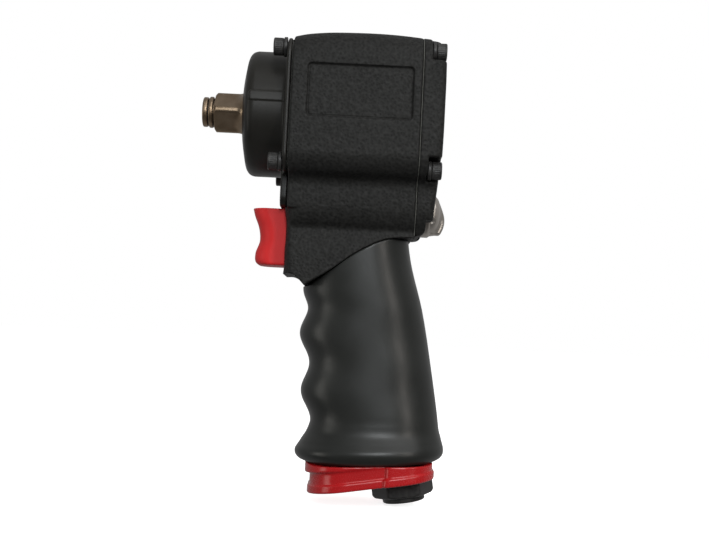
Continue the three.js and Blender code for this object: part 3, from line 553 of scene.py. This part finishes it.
def anvil_field(x, y, z):
    r = np.hypot(y, z)
    diagonal = math.sqrt(0.5)
    across = np.maximum(np.abs(y + z), np.abs(y - z)) * diagonal - SQUARE / 2
    corner = r - np.minimum(SQUARE_CORNER_R, 7 + 1.3 * np.maximum(x - GROOVE[1], 0))
    square = common(common(across, corner, 0.4), slab(x, GROOVE[1], SQUARE_BACK), 0.5)
    nose = rod(x, y, z, 0.4, GROOVE[0], 6.1, 0.7)
    neck = rod(x, y, z, 1, 8, NECK_R)
    shaft = rod(x, y, z, SQUARE_BACK - 0.6, 28.5, SHAFT_R, 0.6)
    flare = np.maximum(r - SHAFT_R + 0.9 * np.maximum(SQUARE_BACK - 0.6 - x, 0), slab(x, 14.5, 19)) * 0.75
    body = join(join(square, join(nose, neck, 0.4)), join(shaft, flare), 1.2)
    for step in (COLLAR, REAR_SHAFT, PILOT):
        body = join(body, rod(x, y, z, *step))
    return join(body, box(x, y, z, *JAW))


def retainer_field(x, y, z):
    body = common(slab(x, GROOVE[0] + 0.4, GROOVE[1] - 0.5), slab(np.hypot(y, z), 5.25, 6.4), 0.7)
    return cut(body, np.maximum(np.abs(y) - 0.6, -z), 0.3)


# ---- shapes: screws ------------------------------------------------------------------------------

SCREW_LENGTH = 17.0
HEAD = (1.5, 5.5)  # the head above its seat, on a lock washer
HEAD_R = 3.5
SOCKET = (3, 2.2)  # across flats, and depth
KNURLS = 30
KNURL_DEPTH = 0.13


def screw_field(x, y, z):
    """A socket head cap screw with its lock washer. Its seat is at x 0 and its head points to +X."""
    r = np.hypot(y, z)
    around = np.arctan2(z, y)
    knurl = KNURL_DEPTH * np.abs(np.sin(around * KNURLS / 2)) * ease(x, 1.7, 2.3) * ease(-x, -5.0, -4.4)
    head = common(r - HEAD_R + knurl, slab(x, *HEAD), 0.6)
    head = cut(head, np.maximum(hexagon(y, z, SOCKET[0]), HEAD[1] - SOCKET[1] - x), 0.2)
    washer = common(slab(r, 1.9, 3.85), slab(x, 0.05, 1.4), 0.3)
    split = np.maximum(np.abs(y - (x - 0.7) * 0.5) - 0.2, -z)
    shank = rod(x, y, z, -SCREW_LENGTH, 1.6, 1.95, 0.5)
    return join(join(head, cut(washer, split, 0.1), 0.1), shank)


# ---- shapes: trigger and dial --------------------------------------------------------------------

# X of the trigger's face by height.
TRIGGER_FACE = [(-62.4, 26.3), (-61, 25.3), (-58, 25.0), (-52.4, 26.6), (-46.8, 25.9), (-42.5, 24.2),
                (-39.4, 23.3)]


def trigger_field(x, y, z):
    face = curve(TRIGGER_FACE, z)
    plan = rounded_between(x - face, y, (0, 40), (-TRIGGER_HALF, TRIGGER_HALF), 6.6)
    body = common(common(plan, z - TRIGGER_Z[1], 0.4), TRIGGER_Z[0] - z, 1.2)
    body = common(body, x - TRIGGER_BACK, 0.5)
    return cut(body, rod(x, y, z - THROTTLE_Z, TRIGGER_BACK - 3, TRIGGER_BACK + 1, ROD_HOLE_R))


# How far the dome stands out, by radius.
DIAL_DOME = [(0, 8.5), (3, 8.2), (5, 7.7), (7.2, 6.6), (8.2, 5.4), (8.8, 4)]
NOTCHES = 8
PIN_X = 93.6  # of the pin through the dial and the valve's stem
PIN_R = 1.25


def dial_field(x, y, z):
    """A dome with notches in its rim and a bar across it to turn it by."""
    x0, x1 = DIAL
    z = z - DIAL_Z
    r = np.hypot(y, z)
    around = np.arctan2(z, y)
    skirt = rod(x, y, z, x0, x0 + 3.6, SKIRT_R, 0.8)
    dome = common(r - DIAL_R, x - x0 - curve(DIAL_DOME, r), 1.2)
    dome = np.maximum(dome, x0 + 1 - x)
    share = 2 * math.pi / NOTCHES
    turn = around % share - share / 2
    notch = disc(r * np.cos(turn) - DIAL_R - 0.9, r * np.sin(turn), 1.5)
    dome = cut(dome, np.maximum(notch, x0 + 4 - x), 0.5)
    ridge = x1 - 0.2 - 0.055 * (z + 2.5) ** 2
    bar = common(np.abs(y) - 2.0 - 0.16 * np.maximum(x1 - x, 0), x - ridge, 1.2)
    bar = common(bar, r - 8.3, 0.8)
    bar = np.maximum(bar, x0 + 3 - x)
    body = join(join(skirt, dome, 0.4), bar, 1.2)
    body = common(body, x - x1)
    body = cut(body, rod(x, y, z, x0 - 1, 95.3, STEM_R))
    return cut(body, disc(x - PIN_X, z, PIN_R))


# ---- shapes: sleeve, cap and air inlet -----------------------------------------------------------

SLEEVE_TOP = [(30, -71.4), (44, -70.4), (47, -69.7)] + [(x, z - 0.25) for x, z in SEAM[1:]]


def arch(y):
    """The seam over the cap is higher in front and behind than at the sides."""
    return SEAM_ARCH * (1 - np.clip(y / 15, -1, 1) ** 2)


def sleeve_field(x, y, z):
    at = level(x, z)
    body = common(grip(x, y, z, 0, 1), arch(y) + SLEEVE_FOOT - at, 1.4)
    body = common(body, z - curve(SLEEVE_TOP, x), 0.4)
    hollow = np.maximum(grip(x, y, z, SLEEVE - GAP, 0), slab(at, CORE_FOOT, -40))
    return cut(cut(body, hollow), np.maximum(base_plan(x, y, 2.7), z + 130))


CAP_TOP = [(40, -141.6), (120, -137.4)]
SLOTS = (56, 71)  # X of the first exhaust slot and of the end of the last
SLOT_PITCH = 4
SLOT_HALF = (0.9, 9)


def cap_field(x, y, z):
    up = above_base(x, z)
    plan = base_plan(x, y, 0)
    body = common(plan, -up, 0.8)
    body = join(body, common(base_plan(x + 1.6, y, -0.4), 8.2 - up, 0.8), 1.3)
    body = join(body, common(plan - 0.8, slab(up, 0, 3.2), 0.7), 0.4)
    body = common(body, z - curve(CAP_TOP, x) - arch(y), 0.3)
    body = cut(body, np.maximum(base_plan(x, y, 2.4), 2.6 - up), 0.4)
    body = cut(body, rod(up, inlet_axis(x, z), y, -20, 20, 8.5), 0.4)
    slot = rounded((x - SLOTS[0]) % SLOT_PITCH - SLOT_HALF[0], y, *SLOT_HALF, 0.8)
    return cut(body, np.maximum(np.maximum(slot, slab(x, SLOTS[0] - 1, SLOTS[1])), up - 4), 0.4)


THREAD_PITCH = 1.34
THREAD_R = 5.85
THREAD_DEPTH = 0.35
NUT_FLATS = 22


def inlet_field(x, y, z):
    up, out = above_base(x, z), inlet_axis(x, z)
    r = np.hypot(out, y)
    nut = common(hexagon(out, y, NUT_FLATS), slab(up, -6.5, -GAP), 0.7)
    nut = common(common(nut, r - 11.6 - (up + 6.5) * 0.9, 0.5), r - 12.5, 0.3)
    body = join(nut, rod(up, out, y, -8.8, -5, 8.5, 0.8), 0.5)
    body = join(body, rod(up, out, y, -1, 15, 8.2))
    turn = up / THREAD_PITCH - np.arctan2(y, out) / (2 * math.pi)
    thread = THREAD_DEPTH * np.abs((turn % 1) * 2 - 1)
    bore = np.where(up < 5, THREAD_R - 0.02 * (up + 9) - thread * ease(up, -8.6, -7.6), 4.4)
    mouth = 1.1 * np.maximum(-7.9 - up, 0)
    return cut(body, r - bore - mouth)


# ---- shapes: bearings and throttle spring --------------------------------------------------------

RING_WALL = 1.2
BALL_R = 1.05
BALLS = 7


def race(side):
    """X of a bearing's middle, and the radius of its ring of balls."""
    inner, outer = f"{side}_bearing_inner_ring", f"{side}_bearing_outer_ring"
    bore = span(inner, 1)[1] - RING_WALL
    return sum(span(inner, 0)) / 2, (bore + span(outer, 1)[1]) / 2


def inner_ring(side):
    """The turning ring, a little narrower than the fixed one."""
    x0, x1 = span(f"{side}_bearing_inner_ring", 0)
    outside = span(f"{side}_bearing_inner_ring", 1)[1]
    middle, pitch = race(side)

    def field(x, y, z):
        r = np.hypot(y, z)
        body = common(slab(x, x0 + 0.2, x1 - 0.2), slab(r, outside - RING_WALL, outside), 0.2)
        return cut(body, disc(x - middle, r - pitch, BALL_R + 0.05))

    return field


def ball_set(side):
    """Balls in a cage band."""
    middle, pitch = race(side)
    share = 2 * math.pi / BALLS

    def field(x, y, z):
        r = np.hypot(y, z)
        turn = (np.arctan2(z, y) + share / 2) % share - share / 2
        ball = np.sqrt((x - middle) ** 2 + (r * np.cos(turn) - pitch) ** 2 + (r * np.sin(turn)) ** 2) - BALL_R
        return join(ball, common(slab(x, middle - 0.5, middle + 0.5), slab(r, pitch - 0.3, pitch + 0.3)), 0.2)

    return field


SPRING_R = 3.2
SPRING_WIRE = 0.45
SPRING_TURNS = 6


def spring_mesh(x0, x1):
    """A round wire wound about the throttle's axis."""
    per_turn, around = 32, 10
    count = SPRING_TURNS * per_turn + 1
    turns = np.arange(around) * 2 * math.pi / around
    share, turn = np.meshgrid(np.linspace(0, 1, count), turns, indexing="ij")
    r = SPRING_R + SPRING_WIRE * np.sin(turn)
    angle = share * SPRING_TURNS * 2 * math.pi
    x = x0 + SPRING_WIRE + (x1 - x0 - 2 * SPRING_WIRE) * share + SPRING_WIRE * np.cos(turn)
    points = np.stack([x, r * np.cos(angle), THROTTLE_Z + r * np.sin(angle)], axis=-1).reshape(-1, 3) * MM
    faces = [list(range(around)), [(count - 1) * around + j for j in reversed(range(around))]]
    for i in range(count - 1):
        for j in range(around):
            a, b = i * around + j, i * around + (j + 1) % around
            faces.append([a, a + around, b + around, b])
    mesh = bpy.data.meshes.new("throttle_spring_skin")
    mesh.from_pydata(points.tolist(), [], faces)
    mesh.shade_smooth()
    return mesh


# ---- materials -----------------------------------------------------------------------------------

record = frame["record"]


class Nodes:
    """A material's node tree, with short calls for the nodes used here."""

    def __init__(self, name):
        self.material = bpy.data.materials.new(name)
        self.material.use_nodes = True
        self.tree = self.material.node_tree
        self.shader = self.tree.nodes["Principled BSDF"]
        self.place = self.add("ShaderNodeTexCoord").outputs["Object"]

    def add(self, kind, **settings):
        node = self.tree.nodes.new(kind)
        for key, value in settings.items():
            setattr(node, key, value)
        return node

    def link(self, output, socket):
        self.tree.links.new(output, socket)

    def noise(self, scale, detail=3.0, stretch=None):
        """Noise with a feature about 1/scale metres long."""
        node = self.add("ShaderNodeTexNoise")
        node.inputs["Scale"].default_value = scale
        node.inputs["Detail"].default_value = detail
        self.link(self.scaled(stretch) if stretch else self.place, node.inputs["Vector"])
        return node.outputs["Fac"]

    def cells(self, scale):
        node = self.add("ShaderNodeTexVoronoi", feature="SMOOTH_F1")
        node.inputs["Scale"].default_value = scale
        self.link(self.place, node.inputs["Vector"])
        return node.outputs["Distance"]

    def scaled(self, factors):
        node = self.add("ShaderNodeVectorMath", operation="MULTIPLY")
        node.inputs[1].default_value = factors
        self.link(self.place, node.inputs[0])
        return node.outputs[0]

    def ramp(self, value, low, high, start=0.35, end=0.65):
        """Takes a value between start and end to one between low and high."""
        node = self.add("ShaderNodeMapRange")
        self.link(value, node.inputs["Value"])
        for key, number in (("From Min", start), ("From Max", end), ("To Min", low), ("To Max", high)):
            node.inputs[key].default_value = number
        return node.outputs["Result"]

    def blend(self, share, first, second):
        node = self.add("ShaderNodeMix", data_type="RGBA")
        self.link(share, node.inputs["Factor"])
        for key, color in ((6, first), (7, second)):
            if isinstance(color, tuple):
                node.inputs[key].default_value = (*color, 1)
            else:
                self.link(color, node.inputs[key])
        return node.outputs[2]

    def bump(self, height, depth, strength=1.0, under=None):
        """A bump of that depth in millimetres."""
        node = self.add("ShaderNodeBump")
        node.inputs["Distance"].default_value = depth * MM
        node.inputs["Strength"].default_value = strength
        self.link(height, node.inputs["Height"])
        if under is not None:
            self.link(under, node.inputs["Normal"])
        return node.outputs["Normal"]

    def finish(self, color, roughness, normal=None, metallic=0.0, **others):
        """Sets the shader. Values are numbers, colours or sockets."""
        values = {"Base Color": color, "Roughness": roughness, "Metallic": metallic, "Normal": normal}
        values.update({key.replace("_", " "): value for key, value in others.items()})
        for key, value in values.items():
            if value is None:
                continue
            socket = self.shader.inputs[key]
            if isinstance(value, bpy.types.NodeSocket):
                self.link(value, socket)
            else:
                socket.default_value = (*value, 1) if isinstance(value, tuple) else value
        return self.material


def cast_black():
    """Powder coat with a pebbled grain over a die casting."""
    n = Nodes("cast_black")
    pebble = n.cells(900)
    fine = n.noise(1500, 3)
    broad = n.noise(60, 4)
    color = n.blend(n.ramp(broad, 0, 1), (0.0080, 0.0080, 0.0076), (0.0112, 0.0112, 0.0106))
    color = n.blend(n.ramp(pebble, 0, 0.62, 0.15, 0.75), color, (0.027, 0.027, 0.026))
    normal = n.bump(fine, 0.12, 0.8, n.bump(pebble, 0.26, 0.8))
    return n.finish(color, n.ramp(fine, 0.50, 0.66), normal, Specular_IOR_Level=0.12)


def case_satin():
    """Smooth dark anodised casting with faint handling marks."""
    n = Nodes("case_satin")
    broad = n.noise(45, 4)
    grain = n.noise(4200, 2)
    color = n.blend(n.ramp(broad, 0, 1), (0.0125, 0.0120, 0.0106), (0.0165, 0.0158, 0.0140))
    roughness = n.ramp(n.noise(170, 3), 0.36, 0.44)
    return n.finish(color, roughness, n.bump(grain, 0.012, 0.5), Specular_IOR_Level=0.18)


def black_oxide():
    """Brown-black oxide on forged steel."""
    n = Nodes("black_oxide")
    broad = n.noise(220, 5)
    scratches = n.noise(900, 2, (1, 7, 7))
    color = n.blend(n.ramp(broad, 0, 1), (0.185, 0.133, 0.086), (0.240, 0.180, 0.124))
    return n.finish(color, n.ramp(scratches, 0.30, 0.44), n.bump(scratches, 0.01, 0.6), 0.9)


def screw_black():
    n = Nodes("screw_black")
    broad = n.noise(700, 3)
    color = n.blend(n.ramp(broad, 0, 1), (0.018, 0.018, 0.018), (0.032, 0.031, 0.030))
    grain = n.noise(3000, 2)
    return n.finish(color, n.ramp(broad, 0.38, 0.5), n.bump(grain, 0.01), 0.1, Specular_IOR_Level=0.3)


def steel():
    """Ground steel with fine marks round its axis."""
    n = Nodes("steel")
    marks = n.noise(500, 3, (8, 1, 1))
    color = n.blend(n.ramp(marks, 0, 1), (0.46, 0.46, 0.46), (0.60, 0.60, 0.59))
    return n.finish(color, n.ramp(marks, 0.24, 0.38), n.bump(marks, 0.006), 1.0)


def bronze():
    n = Nodes("bronze")
    pores = n.noise(2400, 3)
    color = n.blend(n.ramp(pores, 0, 1), (0.36, 0.22, 0.09), (0.50, 0.34, 0.16))
    return n.finish(color, n.ramp(pores, 0.36, 0.5), n.bump(pores, 0.02), 1.0)


def zinc():
    """Satin cast dial metal."""
    n = Nodes("zinc")
    broad = n.noise(260, 4)
    grain = n.noise(3500, 2)
    color = n.blend(n.ramp(broad, 0, 1), (0.34, 0.315, 0.285), (0.40, 0.37, 0.34))
    return n.finish(color, n.ramp(grain, 0.33, 0.42), n.bump(grain, 0.008, 0.5), 0.85)


def rubber():
    """Satin moulded rubber with a very fine grain."""
    n = Nodes("rubber")
    broad = n.noise(35, 3)
    grain = n.noise(4500, 2)
    color = n.blend(n.ramp(broad, 0, 1), (0.0150, 0.0158, 0.0148), (0.0195, 0.0204, 0.0192))
    roughness = n.ramp(n.noise(130, 3), 0.33, 0.39)
    return n.finish(color, roughness, n.bump(grain, 0.012, 0.5), Specular_IOR_Level=0.28)


def red_plastic(name, low, high, roughness, shine):
    n = Nodes(name)
    broad = n.noise(50, 3)
    grain = n.noise(2500, 2)
    color = n.blend(n.ramp(broad, 0, 1), low, high)
    return n.finish(color, n.ramp(grain, *roughness), n.bump(grain, 0.008, 0.4), Specular_IOR_Level=shine)


def fibre(name, low, high):
    """Compressed fibre sheet: short fibres lie every way."""
    n = Nodes(name)
    fibres = n.noise(1800, 4)
    return n.finish(n.blend(n.ramp(fibres, 0, 1), low, high), 0.85, n.bump(fibres, 0.03))


def seal_rubber():
    n = Nodes("seal_rubber")
    grain = n.noise(1500, 3)
    color = n.blend(n.ramp(grain, 0, 1), (0.010, 0.010, 0.010), (0.018, 0.018, 0.018))
    return n.finish(color, n.ramp(grain, 0.45, 0.6), n.bump(grain, 0.015))


def felt():
    n = Nodes("felt")
    fluff = n.noise(1400, 5)
    color = n.blend(n.ramp(fluff, 0, 1), (0.13, 0.13, 0.12), (0.27, 0.27, 0.25))
    return n.finish(color, 0.95, n.bump(fluff, 0.25), Sheen_Weight=0.4)


MATERIALS = {
    "cast_black": cast_black(),
    "case_satin": case_satin(),
    "black_oxide": black_oxide(),
    "screw_black": screw_black(),
    "steel": steel(),
    "bronze": bronze(),
    "zinc": zinc(),
    "rubber": rubber(),
    "red_plastic": red_plastic("red_plastic", (0.36, 0.008, 0.010), (0.40, 0.011, 0.013), (0.22, 0.29), 0.38),
    "gasket_fibre": fibre("gasket_fibre", (0.030, 0.030, 0.027), (0.055, 0.054, 0.048)),
    "seal_rubber": seal_rubber(),
    "vane_resin": fibre("vane_resin", (0.10, 0.045, 0.018), (0.20, 0.10, 0.045)),
    "felt": felt(),
}
trigger_red = red_plastic("trigger_red", (0.55, 0.021, 0.022), (0.61, 0.028, 0.029), (0.42, 0.52), 0.15)
# The rear gasket gets a paler fibre than the front one. The paleness is a painted highlight: it paints the
# thin light line along the seam in front of the cover.
seam_highlight_gasket = fibre("seam_highlight_gasket", (0.075, 0.075, 0.068), (0.11, 0.11, 0.10))


def dress(obj, material):
    obj.data.materials.clear()
    obj.data.materials.append(material)


slot_of = {part["node"]: part["material_slot"] for part in record["subparts"]}
body_of = {node: body for body, nodes in record["behaviour"]["bodies"].items() for node in nodes}


def stand_for(obj, node, material=None):
    """obj takes a CAD node's place, body and material slot."""
    dress(obj, material or MATERIALS[slot_of[node]])
    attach(obj, body_of[node])
    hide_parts(node)


# ---- pieces --------------------------------------------------------------------------------------


def shell(node, field, step, thin=1.0, material=None):
    """Builds the visible skin of a CAD node inside that node's own box."""
    low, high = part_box(node)
    obj = build(node + "_skin", field, [a / MM - 0.5 for a in low], [a / MM + 0.5 for a in high], step, thin)
    stand_for(obj, node, material)


COARSE = 1

shell("motor_housing", housing_field, 0.45 * COARSE, 0.35)
shell("rear_cover", cover_field, 0.36 * COARSE, 0.5)
shell("hammer_case", case_field, 0.36 * COARSE, 0.5)
shell("case_gasket", case_gasket_field, (0.1, 0.45 * COARSE, 0.45 * COARSE), 0.3)
# The rear gasket's paler fibre is a painted highlight along the seam.
shell("rear_gasket", rear_gasket_field, (0.1, 0.45 * COARSE, 0.45 * COARSE), 0.3, seam_highlight_gasket)
shell("anvil", anvil_field, 0.24 * COARSE)
shell("socket_retainer", retainer_field, 0.12)
shell("trigger", trigger_field, 0.26 * COARSE, material=trigger_red)
shell("reverse_dial", dial_field, 0.2 * COARSE)
shell("grip_sleeve", sleeve_field, 0.45 * COARSE)
shell("exhaust_cap", cap_field, 0.3 * COARSE)
shell("inlet_bushing", inlet_field, 0.22 * COARSE)


for side in ("front", "rear"):
    shell(f"{side}_bearing_inner_ring", inner_ring(side), 0.3 * COARSE)
    shell(f"{side}_bearing_balls", ball_set(side), 0.2 * COARSE)


def throttle_spring():
    """It sits between the housing and the valve, which squeeze it as the valve opens; this mesh is built at
    one fixed length.
    """
    x0, x1 = span("throttle_spring", 0)
    obj = bpy.data.objects.new("throttle_spring_skin", spring_mesh(x0, x1))
    bpy.context.scene.collection.objects.link(obj)
    dress(obj, MATERIALS[slot_of["throttle_spring"]])
    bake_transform(obj)
    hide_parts("throttle_spring")


throttle_spring()


def screws(prefix, pattern, seat, side):
    """Four screws round the tool. Each points to -X from the case or to +X from the cover."""
    for i, (y, z) in enumerate(((-1, 1), (-1, -1), (1, -1), (1, 1))):
        obj = bpy.data.objects.new(f"{prefix}_{i + 1}_skin", screw_mesh)
        bpy.context.scene.collection.objects.link(obj)
        turn = Matrix.Rotation(math.radians(37 * i), 4, "X")
        facing = Matrix.Rotation(0 if side > 0 else math.pi, 4, "Z")
        place = Vector((seat, y * pattern[0], z * pattern[1])) * MM
        obj.matrix_world = Matrix.Translation(place) @ facing @ turn
        node = f"{prefix}_{i + 1}"
        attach(obj, body_of[node])
        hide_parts(node)


model = build("screw", screw_field, (-SCREW_LENGTH, -4, -4), (HEAD[1], 4, 4), 0.16 * COARSE, 0.5)
screw_mesh = model.data
dress(model, MATERIALS["screw_black"])
bpy.data.objects.remove(model)
screws("case_screw", CASE_SCREW, FLANGE_X - 0.1, -1)
screws("cover_screw", COVER_SCREW, POCKET_X + 0.1, 1)

for node, obj in frame["nodes"].items():
    if not obj.hide_render:
        dress(obj, MATERIALS[slot_of[node]])

# ---- floor, light and camera ---------------------------------------------------------------------

scene = bpy.context.scene
scene.view_settings.view_transform = "Standard"
FLOOR_Z = cad_box[0].z - 0.0008


def floor():
    """A plain pale disc, wide enough to reach past every view. It takes light but throws none back."""
    mesh = bpy.data.meshes.new("floor")
    angles = [i * math.pi / 32 for i in range(64)]
    mesh.from_pydata([(6 * math.cos(a), 6 * math.sin(a), FLOOR_Z) for a in angles], [], [list(range(64))])
    obj = bpy.data.objects.new("floor", mesh)
    scene.collection.objects.link(obj)
    obj.visible_diffuse = False
    obj.visible_glossy = False
    n = Nodes("floor")
    tone = n.blend(n.ramp(n.noise(3, 2), 0, 1), (0.88, 0.88, 0.88), (0.90, 0.90, 0.90))
    dress(obj, n.finish(tone, 0.9, Specular_IOR_Level=0.0))
    n.shader.inputs["Emission Color"].default_value = (1, 1, 1, 1)
    n.shader.inputs["Emission Strength"].default_value = FLOOR_GLOW


def softbox(name, place, size, watts, color=(1, 1, 1)):
    """A rectangular lamp that faces the tool."""
    light = bpy.data.lights.new(name, "AREA")
    light.shape = "RECTANGLE"
    light.size, light.size_y = size
    light.energy = watts
    light.color = color
    obj = bpy.data.objects.new(name, light)
    obj.location = place
    obj.rotation_euler = (MIDDLE - Vector(place)).to_track_quat("-Z", "Y").to_euler()
    scene.collection.objects.link(obj)


def studio():
    """White to look at. It lights the tool from behind, and little from the front."""
    world = bpy.data.worlds.new("studio")
    world.use_nodes = True
    nodes, link = world.node_tree.nodes, world.node_tree.links.new
    direction = nodes.new("ShaderNodeSeparateXYZ")
    link(nodes.new("ShaderNodeTexCoord").outputs["Generated"], direction.inputs[0])
    around = nodes.new("ShaderNodeMapRange")
    lights = {"From Min": -0.3, "From Max": 0.15, "To Min": FRONT_LIGHT, "To Max": BACK_LIGHT}
    for key, value in lights.items():
        around.inputs[key].default_value = value
    link(direction.outputs["Y"], around.inputs["Value"])
    seen = nodes.new("ShaderNodeMapRange")
    link(nodes.new("ShaderNodeLightPath").outputs["Is Camera Ray"], seen.inputs["Value"])
    link(around.outputs["Result"], seen.inputs["To Min"])
    seen.inputs["To Max"].default_value = BACKDROP
    link(seen.outputs["Result"], nodes["Background"].inputs["Strength"])
    nodes["Background"].inputs["Color"].default_value = (1, 1, 1, 1)
    scene.world = world


MIDDLE = Vector((0.07, 0, -0.06))
FLOOR_GLOW = 0.82
FRONT_LIGHT = 0.10
BACK_LIGHT = 0.45
BACKDROP = 1.0

floor()
studio()
softbox("overhead", (0.50, -0.70, 1.00), (1.2, 1.2), 9)
softbox("key", (0.12, -1.0, 0.30), (0.2, 0.5), 6, (0.94, 0.98, 1.0))
softbox("right_strip", (0.72, -0.90, 0.20), (0.16, 0.7), 3.5, (1.0, 0.94, 0.88))
softbox("left_strip", (-0.90, -0.52, -0.1), (0.35, 0.7), 2.8, (1.0, 0.98, 0.92))

CAMERA = Vector((65.8, -450, -87.1)) * MM
LOOK_AT = Vector((65.8, 0, -63.7)) * MM
ROLL = math.radians(2.8)
LENS = 55.8

camera = bpy.data.objects.new("camera", bpy.data.cameras.new("camera"))
camera.data.lens = LENS
camera.data.clip_start = 0.01
camera.location = CAMERA
aim = (LOOK_AT - CAMERA).to_track_quat("-Z", "Y").to_matrix().to_4x4()
camera.matrix_world = Matrix.Translation(CAMERA) @ aim @ Matrix.Rotation(ROLL, 4, "Z")
scene.collection.objects.link(camera)
scene.camera = camera
